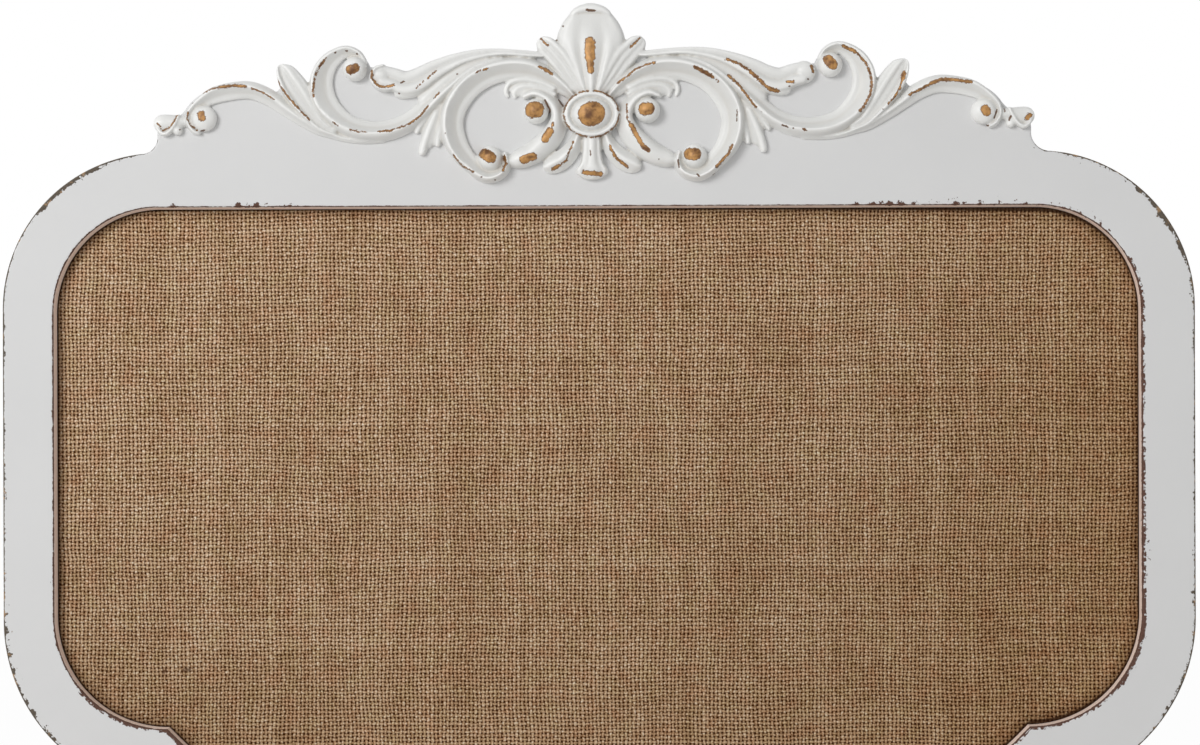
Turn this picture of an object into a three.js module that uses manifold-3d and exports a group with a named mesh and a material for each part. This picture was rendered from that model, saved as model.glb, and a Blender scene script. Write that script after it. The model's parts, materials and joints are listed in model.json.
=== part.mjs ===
// Fabric pin board: a painted board cut to a scrolled outline, with a cast ornament on its crest, a
// cork panel covered in burlap in the rebate behind its opening, turn buttons that keep the panel in,
// and two rings that hang it on a wall.
// Millimetres. X is to the right, Z is up and the front faces -Y. The wall is the plane y = 0, and the
// origin lies midway between the two places where the wall hooks carry the rings.
import * as THREE from 'three';
import { mergeVertices } from 'three/addons/utils/BufferGeometryUtils.js';
import Module from 'manifold-3d';

const wasm = await Module();
wasm.setup();

// Board
const boardWidth = 656;
const boardThickness = 19;
const bodyHeight = 352; // from the top shoulders to the bottom shoulders
const topCornerRadius = 86;
const bottomCornerRadius = 95;
const coveRadius = 8.5; // where a top shoulder turns up into the crest
const bottomDrop = 19.5; // from the bottom shoulders to the bottom edge
const edgeRound = 1;

// Opening
const stileWidth = 28;
const topRailWidth = 30;
const bottomRailWidth = 35; // from the opening's bottom shoulders to the board's
const openingTopRadius = 58;
const openingBottomRadius = 62;
const openingDrop = 20; // from the opening's bottom shoulders to its bottom edge
const ogeeRun = 35; // width of the S-shaped step beside a bottom edge

// Panel in the rebate
const rebateWidth = 8;
const panelPlay = 0.5; // from the cloth's edge to the rebate's wall
const clothThickness = 0.9;
const corkThickness = 5;
const backerThickness = 3;
const hemWidth = 25; // cloth turned over onto the back of the panel

// Ornament
const crestHalfWidth = 242;
const crestAboveShoulder = 21; // height of the boss over the top shoulders
const crestRelief = 13; // height of the boss over the board's face
const crestShift = -3.5; // the casting sits a little left of the middle
const crestTiltDegrees = 0.5; // and a little high on the right

// Wall and hooks
const wallGap = 6; // from the wall to the back of the board
const hookAboveShoulder = 26;
const hangerSpacing = 340;

// Fits
const clearance = 0.3; // between pieces that touch
const overrun = 1; // how far a cut runs past the face it opens
const weld = 1e-4; // vertices nearer than this are one

// Turn buttons
const buttonReach = 20; // from the screw to the end over the panel
const buttonTail = 5;
const buttonWidth = 10;
const buttonThickness = 1.5;
const buttonSpacing = 220; // between the two buttons of a rail

// Screws
const shankRadius = 1.5;
const headRadius = 3.2;
const headHeight = 1.8;
const boardScrewLength = 12; // under the head of a turn button's or a hanger's screw
const castingScrewGrip = 5; // how far a casting's screw enters the casting

// Hangers
const ringWireRadius = 1.1;
const ringInnerWidth = 13;
const ringInnerHeight = 14.5; // from the middle of its straight bar to the inside of its bow
const ringBendRadius = 2.5;
const strapWidth = 11;
const strapThickness = 1;
const strapLength = 29;
const strapFirstScrew = 9; // from the ring's bar
const strapSecondScrew = 24;

// Bumpers
const bumperRadius = 6;
const bumperEase = 0.8;

// Depths, from the wall to the front
const boardBackY = -wallGap;
const boardFrontY = boardBackY - boardThickness;
const hemFrontY = boardBackY - clothThickness;
const backerBackY = hemFrontY - clearance;
const backerFrontY = backerBackY - backerThickness;
const corkBackY = backerFrontY - clearance;
const corkFrontY = corkBackY - corkThickness;
const clothBackY = corkFrontY - clearance;
const clothFrontY = clothBackY - clothThickness;
const lipBackY = clothFrontY - clearance;
const crestBackY = boardFrontY - clearance;
const hardwareSeatY = boardBackY + clearance;

// Heights, from the hooks down
const shoulderZ = -hookAboveShoulder;
const bottomShoulderZ = shoulderZ - bodyHeight;
const openingTopZ = shoulderZ - topRailWidth;
const openingShoulderZ = bottomShoulderZ + bottomRailWidth;
const openingBottomZ = openingShoulderZ - openingDrop;
const crestZ = shoulderZ + crestAboveShoulder;
const boardHalfWidth = boardWidth / 2;
const openingHalfWidth = boardHalfWidth - stileWidth;

// Facets
const cornerFacets = 12;
const coveFacets = 4;
const ogeeFacets = 7;
const boreFacets = 16;
const screwFacets = 12;
const wireFacets = 8;
const bowFacets = 12;
const domeFacets = 14;
const roundFacets = 2; // across an eased edge

const radians = THREE.MathUtils.degToRad;

// The casting's drawing: a square grid whose unit is one of 440 equal shares of its half width. Places
// are [out, up] from the middle of the boss, for one half, and the other half is its mirror image.
const crestGridShares = 440;
const crestStep = crestHalfWidth / crestGridShares;

// A place of the drawing on the board's face. side is 1 to the right and -1 to the left.
function crestPoint(side, out, up) {
  const tilt = radians(crestTiltDegrees);
  const x = side * out * crestStep;
  const z = up * crestStep;
  return new THREE.Vector2(
    crestShift + x * Math.cos(tilt) - z * Math.sin(tilt),
    crestZ + x * Math.sin(tilt) + z * Math.cos(tilt),
  );
}

// The board's edge behind the casting, a little inside the casting's own edge, from the neck to the top.
const crestEdgeShares = [
  [437, -16], [434, -2], [420, 0], [411, 6], [403, 16], [391, 25], [375, 31], [357, 33], [338, 31],
  [322, 25], [313, 30], [311, 45], [306, 47], [298, 41], [290, 33], [284, 33], [279, 43], [273, 54],
  [262, 64.5], [250, 69], [238, 67], [228, 60], [222, 50], [213, 50], [202, 44.5], [190, 40.5],
  [178, 44], [160, 52], [143, 58], [120, 63], [96, 64.5], [72, 61.5], [58, 57], [51, 62], [50, 73],
  [36, 73], [27, 88], [20, 101], [9, 108.5],
];

// Points of an arc in the plane of the face.
function arcPoints(centreX, centreZ, radius, startAngle, endAngle, facets) {
  const points = [];
  for (let i = 0; i <= facets; i += 1) {
    const angle = startAngle + (endAngle - startAngle) * (i / facets);
    points.push(new THREE.Vector2(centreX + radius * Math.cos(angle), centreZ + radius * Math.sin(angle)));
  }
  return points;
}

// The S-shaped step beside a bottom edge, from the edge up to the sharp corner under the shoulder.
function ogeePoints(cornerX, cornerZ, drop) {
  const diagonalShare = 0.4;
  const levelShare = 0.45;
  const curve = new THREE.CubicBezierCurve(
    new THREE.Vector2(cornerX - ogeeRun, cornerZ - drop),
    new THREE.Vector2(cornerX - ogeeRun * (1 - levelShare), cornerZ - drop),
    new THREE.Vector2(cornerX - ogeeRun * diagonalShare, cornerZ - ogeeRun * diagonalShare),
    new THREE.Vector2(cornerX, cornerZ),
  );
  return curve.getPoints(ogeeFacets);
}

// One side of the board's outline, from its bottom edge up to the crest.
function boardSide(side) {
  const crest = crestEdgeShares.map(([out, up]) => crestPoint(side, out, up));
  const coveX = side * crest[0].x + coveRadius;
  const topCornerX = boardHalfWidth - topCornerRadius;
  const topCornerZ = shoulderZ - topCornerRadius;
  const topAngle = Math.acos((coveX - topCornerX) / topCornerRadius);
  const coveZ = topCornerZ + topCornerRadius * Math.sin(topAngle) + coveRadius;
  const bottomCornerX = boardHalfWidth - bottomCornerRadius;
  const bottomCornerZ = bottomShoulderZ + bottomCornerRadius;
  const down = -Math.PI / 2;
  const body = [
    ...ogeePoints(bottomCornerX, bottomShoulderZ, bottomDrop).slice(0, -1),
    ...arcPoints(bottomCornerX, bottomCornerZ, bottomCornerRadius, down, 0, cornerFacets),
    ...arcPoints(topCornerX, topCornerZ, topCornerRadius, 0, topAngle, cornerFacets).slice(0, -1),
    ...arcPoints(coveX, coveZ, coveRadius, down, -Math.PI, coveFacets),
  ];
  return [...body.map((point) => new THREE.Vector2(side * point.x, point.y)), ...crest];
}

function boardOutline() {
  const crestTopShare = 109;
  return [...boardSide(1), crestPoint(1, 0, crestTopShare), ...boardSide(-1).reverse()];
}

function openingOutline() {
  const bottomCornerX = openingHalfWidth - openingBottomRadius;
  const bottomCornerZ = openingShoulderZ + openingBottomRadius;
  const topCornerX = openingHalfWidth - openingTopRadius;
  const topCornerZ = openingTopZ - openingTopRadius;
  const down = -Math.PI / 2;
  const side = [
    ...ogeePoints(bottomCornerX, openingShoulderZ, openingDrop).slice(0, -1),
    ...arcPoints(bottomCornerX, bottomCornerZ, openingBottomRadius, down, 0, cornerFacets),
    ...arcPoints(topCornerX, topCornerZ, openingTopRadius, 0, -down, cornerFacets),
  ];
  const mirrored = side.map((point) => new THREE.Vector2(-point.x, point.y));
  return [...side, ...mirrored.reverse()];
}

// A counter-clockwise outline moved outwards by a distance, with mitred corners.
function offsetOutline(points, distance) {
  return points.map((point, i) => {
    const before = points[(i + points.length - 1) % points.length];
    const after = points[(i + 1) % points.length];
    const incoming = point.clone().sub(before).normalize();
    const outgoing = after.clone().sub(point).normalize();
    const incomingNormal = new THREE.Vector2(incoming.y, -incoming.x);
    const outgoingNormal = new THREE.Vector2(outgoing.y, -outgoing.x);
    const mitre = incomingNormal.add(outgoingNormal).normalize();
    return point.clone().addScaledVector(mitre, distance / mitre.dot(outgoingNormal));
  });
}

// A flat piece of an outline in the plane of the face, between two depths, its edges eased by round.
function plate(shape, backY, frontY, round = 0) {
  const geometry = new THREE.ExtrudeGeometry(shape, {
    depth: backY - frontY - round - round,
    curveSegments: boreFacets,
    bevelEnabled: round > 0,
    bevelThickness: round,
    bevelSize: round,
    bevelOffset: -round,
    bevelSegments: roundFacets,
  });
  geometry.rotateX(Math.PI / 2);
  geometry.translate(0, backY - round, 0);
  return geometry;
}

// A bar across the thickness of the board, for cutting a hole.
function holeCutter(x, z, radius, backY, frontY) {
  const shape = new THREE.Shape(arcPoints(x, z, radius, 0, 2 * Math.PI, boreFacets).slice(0, -1));
  return plate(shape, backY, frontY);
}

// A closed geometry as a solid for cutting and joining.
function solid(geometry) {
  const bare = new THREE.BufferGeometry();
  bare.setAttribute('position', geometry.getAttribute('position'));
  bare.setIndex(geometry.getIndex());
  const merged = mergeVertices(bare, weld);
  return new wasm.Manifold(new wasm.Mesh({
    numProp: 3,
    vertProperties: new Float32Array(merged.getAttribute('position').array),
    triVerts: new Uint32Array(merged.getIndex().array),
  }));
}

// The other way round: a solid's faces as a geometry.
function geometryOf(body) {
  const mesh = body.getMesh();
  const geometry = new THREE.BufferGeometry();
  geometry.setAttribute('position', new THREE.BufferAttribute(new Float32Array(mesh.vertProperties), 3));
  geometry.setIndex(new THREE.BufferAttribute(new Uint32Array(mesh.triVerts), 1));
  geometry.computeVertexNormals();
  return geometry;
}

// The end face of a loft, from its section drawn flat: its triangles, all turned the section's own way.
function capFaces(section) {
  const faces = THREE.ShapeUtils.triangulateShape(section, []);
  const sectionTurns = THREE.ShapeUtils.isClockWise(section);
  return faces.map((face) => {
    const turns = THREE.ShapeUtils.isClockWise(face.map((corner) => section[corner]));
    return turns === sectionTurns ? face : [face[0], face[2], face[1]];
  });
}

// A skin through a row of alike sections. A ring goes round clockwise, seen from the end that the row
// runs to. A mirrored row has its faces turned back, and a row without caps closes on itself.
function loft(rings, startCap, endCap, mirrored) {
  const around = rings[0].length;
  const faces = [];
  const spans = startCap ? rings.length - 1 : rings.length;
  for (let i = 0; i < spans; i += 1) {
    const here = i * around;
    const next = ((i + 1) % rings.length) * around;
    for (let j = 0; j < around; j += 1) {
      const k = (j + 1) % around;
      faces.push([here + j, next + k, here + k], [here + j, next + j, next + k]);
    }
  }
  if (startCap) {
    const last = (rings.length - 1) * around;
    startCap.forEach(([a, b, c]) => faces.push([a, b, c]));
    endCap.forEach(([a, b, c]) => faces.push([last + a, last + c, last + b]));
  }
  const geometry = new THREE.BufferGeometry();
  const corners = rings.flat().flatMap((point) => [point.x, point.y, point.z]);
  geometry.setAttribute('position', new THREE.Float32BufferAttribute(corners, 3));
  geometry.setIndex(faces.flatMap(([a, b, c]) => (mirrored ? [a, c, b] : [a, b, c])));
  return geometry;
}

// A place of the ornament: out and up in its drawing, and how high it stands over its back.
function crestCorner(side, out, up, rise) {
  const place = crestPoint(side, out, up);
  return new THREE.Vector3(place.x, crestBackY - rise, place.y);
}

// One stroke of the ornament: a band that follows its stations, with a moulded top. The profile's
// across share is 1 on the band's left as it runs, which is the outside of a scroll.
function stroke(side, stations, profileShares) {
  const sectionShares = [[-1, 0], ...profileShares, [1, 0]];
  const rings = stations.map(([out, up, halfWidth, height], i) => {
    const before = stations[Math.max(i - 1, 0)];
    const after = stations[Math.min(i + 1, stations.length - 1)];
    const along = new THREE.Vector2(after[0] - before[0], after[1] - before[1]).normalize();
    return sectionShares.map(([across, rise]) => crestCorner(
      side,
      out - along.y * across * halfWidth,
      up + along.x * across * halfWidth,
      rise * height * crestRelief,
    ));
  });
  const sectionAt = ([, , halfWidth, height]) => sectionShares.map(([across, rise]) => (
    new THREE.Vector2(across * halfWidth * crestStep, rise * height * crestRelief)));
  const startCap = capFaces(sectionAt(stations[0]));
  const endCap = capFaces(sectionAt(stations[stations.length - 1]));
  return solid(loft(rings, startCap, endCap, side < 0));
}

// A turned form of the ornament, such as a ball: shares of its radius and of the relief, from the back.
function knob(side, [out, up, halfWidth, halfHeight, height], profileShares) {
  const rings = profileShares.map(([radiusShare, riseShare]) => {
    const ring = [];
    for (let i = 0; i < domeFacets; i += 1) {
      const angle = -2 * Math.PI * (i / domeFacets);
      ring.push(crestCorner(
        side,
        out + radiusShare * halfWidth * Math.cos(angle),
        up + radiusShare * halfHeight * Math.sin(angle),
        riseShare * height * crestRelief,
      ));
    }
    return ring;
  });
  const flat = [];
  for (let i = 0; i < domeFacets; i += 1) {
    const angle = -2 * Math.PI * (i / domeFacets);
    flat.push(new THREE.Vector2(Math.cos(angle), Math.sin(angle)));
  }
  const cap = capFaces(flat);
  return solid(loft(rings, cap, cap, side < 0));
}

// Profiles of the strokes: [across, rise] shares. A scroll has a raised outer rim and a hollow.
const scrollProfileShares = [[-1, 0.35], [-0.4, 0.5], [0.2, 0.55], [0.6, 1], [0.86, 0.85], [1, 0.4]];
const roundProfileShares = [[-1, 0.35], [-0.6, 0.85], [0, 1], [0.6, 0.85], [1, 0.35]];
const leafProfileShares = [[-1, 0.5], [-0.35, 0.65], [0.1, 0.8], [0.6, 1], [1, 0.5]];
const flutedProfileShares = [
  [-1, 0.4], [-0.75, 0.75], [-0.5, 0.55], [-0.26, 0.85], [0, 1], [0.26, 0.85], [0.5, 0.55],
  [0.75, 0.75], [1, 0.4],
];
const ballProfileShares = [[1.1, 0], [1.06, 0.25], [0.94, 0.6], [0.7, 0.87], [0.35, 1]];
const bossProfileShares = [
  [1, 0], [1, 0.4], [0.93, 0.72], [0.82, 0.72], [0.74, 0.5], [0.62, 0.72], [0.42, 0.93], [0.2, 1],
];

// Strokes of one half: [out, up, half width, height], in grid shares and a share of the relief.
const endScrollShares = [
  [298, -2, 3.5, 0.3], [309, 9, 7, 0.36], [324, 20.5, 8.5, 0.4], [342, 27.5, 9, 0.42],
  [360, 27, 9, 0.44], [378, 23, 8.5, 0.44], [392, 15.5, 6.5, 0.44], [402, 6, 5, 0.44],
  [404.5, -3.5, 4, 0.44], [399.5, -12.5, 4.2, 0.44], [389, -15.5, 4.5, 0.42], [380, -9.5, 4.5, 0.4],
  [379, 0.5, 4, 0.38], [385, 7, 2.5, 0.34],
];
const endLeafShares = [
  [402, -3, 4, 0.3], [416, -3.5, 7, 0.36], [426, -5, 9.5, 0.38], [436, -5, 9, 0.36], [440, -5, 6, 0.3],
];
const uprightLeafShares = [
  [281, -6, 6, 0.34], [287, 8, 12, 0.44], [294, 22.5, 13, 0.5], [301, 36.5, 12, 0.5],
  [307.5, 47, 7.5, 0.44], [309, 51.5, 4, 0.36],
];
const bigScrollShares = [
  [226, 52, 3, 0.4], [234, 62, 4.5, 0.46], [245, 65.5, 6, 0.5], [256, 61, 8, 0.54],
  [265, 52.5, 10, 0.56], [270.5, 40.5, 11.5, 0.58], [271, 27.5, 12, 0.6], [267, 14.5, 12, 0.6],
  [259, 3, 11.5, 0.6], [247, -7.5, 11, 0.6], [232, -13.5, 11, 0.6], [214, -15, 10.5, 0.6],
  [196, -11.5, 10, 0.6], [180, -3.5, 9.5, 0.6], [167, 7.5, 9, 0.6], [155, 19.5, 8.5, 0.6],
  [142, 31, 8, 0.58], [130, 41, 7, 0.56], [117, 49, 6, 0.52], [102, 55, 5, 0.46], [87, 57, 3, 0.4],
];
const curlLeafShares = [
  [221, 38, 5, 0.4], [213, 39, 11, 0.5], [199, 35.5, 10.5, 0.54], [187, 32, 12, 0.56],
  [174, 36, 12, 0.58], [161, 43.5, 11, 0.58], [147, 50.5, 9, 0.56], [132, 56.5, 7, 0.54],
  [114, 61, 5.5, 0.5], [95, 63.3, 4, 0.46], [77, 62.5, 3, 0.42], [62, 60, 2, 0.38],
];
const curlLobeShares = [
  [200, 23, 3, 0.34], [189, 23, 5, 0.4], [176, 25.5, 6, 0.42], [162, 32.5, 5, 0.42],
  [151, 40.5, 2.5, 0.4],
];
const pendantShares = [
  [157, 3.5, 4, 0.34], [162, -8.5, 7, 0.38], [165, -21.5, 8.5, 0.38], [169, -33.5, 7, 0.34],
  [171, -39.5, 3.5, 0.26],
];
const pendantLobeShares = [[151, -2.5, 4, 0.32], [152, -14.5, 5, 0.34], [154, -26.5, 3.5, 0.26]];
const middleScrollShares = [
  [17, 16, 3, 0.45], [27, 26, 7, 0.55], [39, 35.3, 9, 0.6], [52, 42.5, 10.5, 0.64],
  [67, 46.6, 11.5, 0.66], [85, 46.3, 12, 0.66], [102, 42, 12, 0.68], [118, 33, 12, 0.7],
  [130, 21, 12, 0.7], [138, 7, 12, 0.7], [140.5, -8, 12, 0.7], [138, -23, 11.5, 0.7],
  [131, -37, 10.5, 0.7], [121, -48, 9, 0.7], [113, -56, 8.5, 0.68], [103, -60.5, 7.5, 0.68],
  [91, -57, 6, 0.66], [85.5, -47, 5, 0.6], [88, -36.5, 3, 0.5],
];
const innerBandShares = [
  [69, 17.5, 2.5, 0.5], [58, 22, 4, 0.6], [46, 19, 5.5, 0.64], [37, 10.3, 6.5, 0.66],
  [33, -0.7, 7, 0.68], [35, -12.7, 8.5, 0.7], [42, -24.6, 10.5, 0.7], [52, -34.5, 11.5, 0.7],
  [65, -43, 11.5, 0.66], [78, -49.3, 10, 0.6], [86, -53.2, 6, 0.5],
];
const outerFrondShares = [
  [86, 16.7, 2, 0.26], [87, 26.5, 3.5, 0.32], [80, 34, 4, 0.34], [66, 36, 4.5, 0.36],
  [49, 32.5, 4.5, 0.4], [34, 24.3, 3, 0.44],
];
const innerFrondShares = [
  [78, 18.7, 2, 0.26], [72, 25.6, 3, 0.32], [61, 28.5, 3.5, 0.36], [47, 26.4, 3, 0.4],
  [36, 20, 2, 0.44],
];
const petalShares = [
  [12, -15, 4, 0.5], [18, -32, 7.5, 0.6], [25, -43, 9.5, 0.64], [34, -50.7, 9, 0.6],
  [44, -53.6, 6, 0.48], [51, -52, 2.5, 0.34],
];
const palmetteLobeShares = [
  [10, 22, 5, 0.55], [21, 39, 9, 0.56], [31, 54.3, 11, 0.54], [41, 65.4, 10, 0.48],
  [49, 72, 6.5, 0.4], [53, 75, 3, 0.3],
];

// Turned forms of one half: [out, up, half width, half height, height].
const ballShares = [
  [391, 1, 9.5, 9.5, 0.6], [237, 48, 13.5, 13.5, 0.74], [55.5, 3.7, 13.5, 13.5, 0.84],
  [102.5, -41, 12.3, 12.3, 0.84], [416, -12, 5, 5, 0.32],
];

// Forms on the middle line.
const palmetteShares = [
  [0, 20, 11, 0.66], [0, 40, 17, 0.68], [0, 60, 25, 0.66], [0, 75, 32, 0.6], [0, 88, 29, 0.54],
  [0, 99, 24, 0.46], [0, 107, 17, 0.38], [0, 111.5, 8, 0.3],
];
const bellShares = [
  [0, -20, 9, 0.6], [0, -38, 10.5, 0.66], [0, -50, 13, 0.66], [0, -58, 19.5, 0.6],
  [0, -65, 17.5, 0.5], [0, -69, 9, 0.36],
];
const bossShares = [0, 0, 28.5, 23.5, 1];

function crestHalf(side) {
  const scrolls = [endScrollShares, bigScrollShares, middleScrollShares];
  const leaves = [endLeafShares, uprightLeafShares, curlLeafShares, palmetteLobeShares];
  const ribs = [
    curlLobeShares, pendantShares, pendantLobeShares, innerBandShares, outerFrondShares,
    innerFrondShares, petalShares,
  ];
  return [
    ...scrolls.map((stations) => stroke(side, stations, scrollProfileShares)),
    ...leaves.map((stations) => stroke(side, stations, leafProfileShares)),
    ...ribs.map((stations) => stroke(side, stations, roundProfileShares)),
    ...ballShares.map((ball) => knob(side, ball, ballProfileShares)),
  ];
}

// Screws that come through the board into the casting stand under its inner and upper balls.
const castingScrewPlaces = [-1, 1].flatMap((side) => (
  [ballShares[1], ballShares[2]].map(([out, up]) => crestPoint(side, out, up))));

function crestCasting() {
  const middle = [
    stroke(1, palmetteShares, flutedProfileShares),
    stroke(1, bellShares, flutedProfileShares),
    knob(1, bossShares, bossProfileShares),
  ];
  let casting = wasm.Manifold.union([...crestHalf(1), ...crestHalf(-1), ...middle]);
  for (const place of castingScrewPlaces) {
    const hole = holeCutter(
      place.x,
      place.y,
      shankRadius + clearance,
      crestBackY + overrun,
      crestBackY - castingScrewGrip - clearance,
    );
    casting = casting.subtract(solid(hole));
  }
  return geometryOf(casting);
}

// Places of the fittings on the back of the board, as [x, z].
const buttonSetback = rebateWidth + (stileWidth - rebateWidth) / 2;
const buttonPlaces = [
  { name: 'top_left', x: -buttonSpacing / 2, z: openingTopZ + buttonSetback, turn: Math.PI / 2 },
  { name: 'top_right', x: buttonSpacing / 2, z: openingTopZ + buttonSetback, turn: Math.PI / 2 },
  { name: 'bottom_left', x: -buttonSpacing / 2, z: openingBottomZ - buttonSetback, turn: -Math.PI / 2 },
  { name: 'bottom_right', x: buttonSpacing / 2, z: openingBottomZ - buttonSetback, turn: -Math.PI / 2 },
  { name: 'left', x: -openingHalfWidth - buttonSetback, z: (shoulderZ + bottomShoulderZ) / 2, turn: 0 },
  { name: 'right', x: openingHalfWidth + buttonSetback, z: (shoulderZ + bottomShoulderZ) / 2, turn: Math.PI },
];
const ringBarZ = -ringInnerHeight;
const hangerSides = [{ name: 'left', side: -1 }, { name: 'right', side: 1 }];
const hangerScrewDrops = [strapFirstScrew, strapSecondScrew];

function boardPilotHoles() {
  const frontY = boardBackY - boardScrewLength;
  const radius = shankRadius + clearance;
  const places = buttonPlaces.map(({ x, z }) => [x, z]);
  for (const { side } of hangerSides) {
    for (const drop of hangerScrewDrops) {
      places.push([side * hangerSpacing / 2, ringBarZ - drop]);
    }
  }
  return places.map(([x, z]) => holeCutter(x, z, radius, boardBackY + overrun, frontY));
}

function boardThroughHoles() {
  return castingScrewPlaces.map((place) => holeCutter(
    place.x,
    place.y,
    shankRadius + clearance,
    boardBackY + overrun,
    boardFrontY - overrun,
  ));
}

function frameBoard() {
  const shape = new THREE.Shape(boardOutline());
  shape.holes.push(new THREE.Path(openingOutline()));
  const rebate = new THREE.Shape(offsetOutline(openingOutline(), rebateWidth));
  const cuts = [
    plate(rebate, boardBackY + overrun, lipBackY),
    ...boardPilotHoles(),
    ...boardThroughHoles(),
  ];
  let board = solid(plate(shape, boardBackY, boardFrontY, edgeRound));
  for (const cut of cuts) {
    board = board.subtract(solid(cut));
  }
  return geometryOf(board);
}

// The panel's layers, each an offset of the opening.
const clothOffset = rebateWidth - panelPlay;
const coreOffset = clothOffset - clothThickness - clearance;

function burlapCover() {
  const opening = openingOutline();
  const outer = new THREE.Shape(offsetOutline(opening, clothOffset));
  const inner = new THREE.Shape(offsetOutline(opening, clothOffset - clothThickness));
  const window = new THREE.Shape(offsetOutline(opening, clothOffset - hemWidth));
  const cover = solid(plate(outer, boardBackY, clothFrontY))
    .subtract(solid(plate(inner, hemFrontY, clothBackY)))
    .subtract(solid(plate(window, boardBackY + overrun, clothBackY)));
  return geometryOf(cover);
}

function coreSheet(backY, frontY) {
  return plate(new THREE.Shape(offsetOutline(openingOutline(), coreOffset)), backY, frontY);
}

// A flat bar with round ends and a hole for its screw, lying along +X from its pivot.
function turnButton() {
  const halfWidth = buttonWidth / 2;
  const up = Math.PI / 2;
  const shape = new THREE.Shape([
    ...arcPoints(buttonReach - halfWidth, 0, halfWidth, -up, up, wireFacets),
    ...arcPoints(halfWidth - buttonTail, 0, halfWidth, up, 3 * up, wireFacets),
  ]);
  const hole = arcPoints(0, 0, shankRadius + clearance, 0, 4 * up, boreFacets).slice(0, -1);
  shape.holes.push(new THREE.Path(hole));
  return plate(shape, buttonThickness, 0);
}

// A round-headed screw whose head rests on the plane y = 0 and whose shank runs to the front.
function screw(length) {
  const crownShare = 0.55;
  const profile = [
    new THREE.Vector2(0, -length),
    new THREE.Vector2(shankRadius, shankRadius - length),
    new THREE.Vector2(shankRadius, 0),
    new THREE.Vector2(headRadius, 0),
    new THREE.Vector2(headRadius, headHeight / 2),
    new THREE.Vector2(headRadius * crownShare, headHeight),
    new THREE.Vector2(0, headHeight),
  ];
  return new THREE.LatheGeometry(profile, screwFacets);
}

// The ring: a D of round wire whose straight bar lies along X through the pivot, its bow above.
function dRing() {
  const halfWidth = ringInnerWidth / 2 + ringWireRadius;
  const bowZ = ringInnerHeight + ringWireRadius - halfWidth;
  const bend = ringBendRadius;
  const down = -Math.PI / 2;
  const line = [
    ...arcPoints(halfWidth - bend, bend, bend, down, 0, coveFacets),
    ...arcPoints(0, bowZ, halfWidth, 0, Math.PI, bowFacets),
    ...arcPoints(bend - halfWidth, bend, bend, Math.PI, -3 * down, coveFacets),
  ];
  const rings = line.map((point, i) => {
    const before = line[(i + line.length - 1) % line.length];
    const after = line[(i + 1) % line.length];
    const along = after.clone().sub(before).normalize();
    const ring = [];
    for (let j = 0; j < wireFacets; j += 1) {
      const angle = 2 * Math.PI * ((j + 1 / 2) / wireFacets);
      const across = ringWireRadius * Math.cos(angle);
      const depth = ringWireRadius * Math.sin(angle);
      ring.push(new THREE.Vector3(point.x - along.y * across, depth, point.y + along.x * across));
    }
    return ring;
  });
  return loft(rings, null, null, false);
}

// The strap: a plate that folds over the ring's bar and lies back on itself, with two screw holes.
function hangerStrap() {
  const bore = ringWireRadius + clearance;
  const outer = bore + strapThickness;
  const meeting = Math.PI + Math.acos(bore / outer);
  const profile = new THREE.Shape([
    new THREE.Vector2(-outer, -strapLength),
    new THREE.Vector2(-bore, -strapLength),
    ...arcPoints(0, 0, outer, meeting - 2 * Math.PI, Math.PI, boreFacets),
  ]);
  const hole = arcPoints(0, 0, bore, 0, 2 * Math.PI, boreFacets).slice(0, -1);
  profile.holes.push(new THREE.Path(hole));
  const bent = new THREE.ExtrudeGeometry(profile, { depth: strapWidth, bevelEnabled: false });
  // The drawing's first axis becomes Y and its second Z, with the width along X.
  bent.applyMatrix4(new THREE.Matrix4().makeBasis(
    new THREE.Vector3(0, 1, 0),
    new THREE.Vector3(0, 0, 1),
    new THREE.Vector3(1, 0, 0),
  ));
  bent.translate(-strapWidth / 2, 0, 0);
  let strap = solid(bent);
  for (const drop of hangerScrewDrops) {
    const hole = holeCutter(0, -drop, shankRadius + clearance, -bore + overrun, -outer - overrun);
    strap = strap.subtract(solid(hole));
  }
  return geometryOf(strap);
}

// A rubber bumper from the board's back to the wall.
function bumper() {
  const height = wallGap - clearance;
  const profile = [
    new THREE.Vector2(0, -height),
    new THREE.Vector2(bumperRadius, -height),
    new THREE.Vector2(bumperRadius, -bumperEase),
    new THREE.Vector2(bumperRadius - bumperEase, 0),
    new THREE.Vector2(0, 0),
  ];
  return new THREE.LatheGeometry(profile, boreFacets);
}

// Bumpers stand on the solid band between the rebate and the board's edge, at each rounded corner.
function bumperPlaces() {
  const diagonal = Math.SQRT1_2;
  const topReach = topCornerRadius - (stileWidth - rebateWidth) / 2;
  const bottomReach = bottomCornerRadius - (stileWidth - rebateWidth) / 2;
  const topX = boardHalfWidth - topCornerRadius + topReach * diagonal;
  const topZ = shoulderZ - topCornerRadius + topReach * diagonal;
  const bottomX = boardHalfWidth - bottomCornerRadius + bottomReach * diagonal;
  const bottomZ = bottomShoulderZ + bottomCornerRadius - bottomReach * diagonal;
  return [
    { name: 'top_left', x: -topX, z: topZ },
    { name: 'top_right', x: topX, z: topZ },
    { name: 'bottom_left', x: -bottomX, z: bottomZ },
    { name: 'bottom_right', x: bottomX, z: bottomZ },
  ];
}

function paint(color, roughness, metalness = 0) {
  return new THREE.MeshStandardMaterial({ color, roughness, metalness });
}

const boardPaint = paint('#d6d5d3', 0.55);
const castingPaint = paint('#e2e0dc', 0.5);
const burlap = paint('#a58562', 0.95);
const cork = paint('#b98a5c', 0.95);
const hardboard = paint('#6b4a30', 0.8);
const platedSteel = paint('#c3c4c2', 0.35, 1);
const rubber = paint('#3a3a3a', 0.8);

const pinBoard = new THREE.Group();

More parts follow.
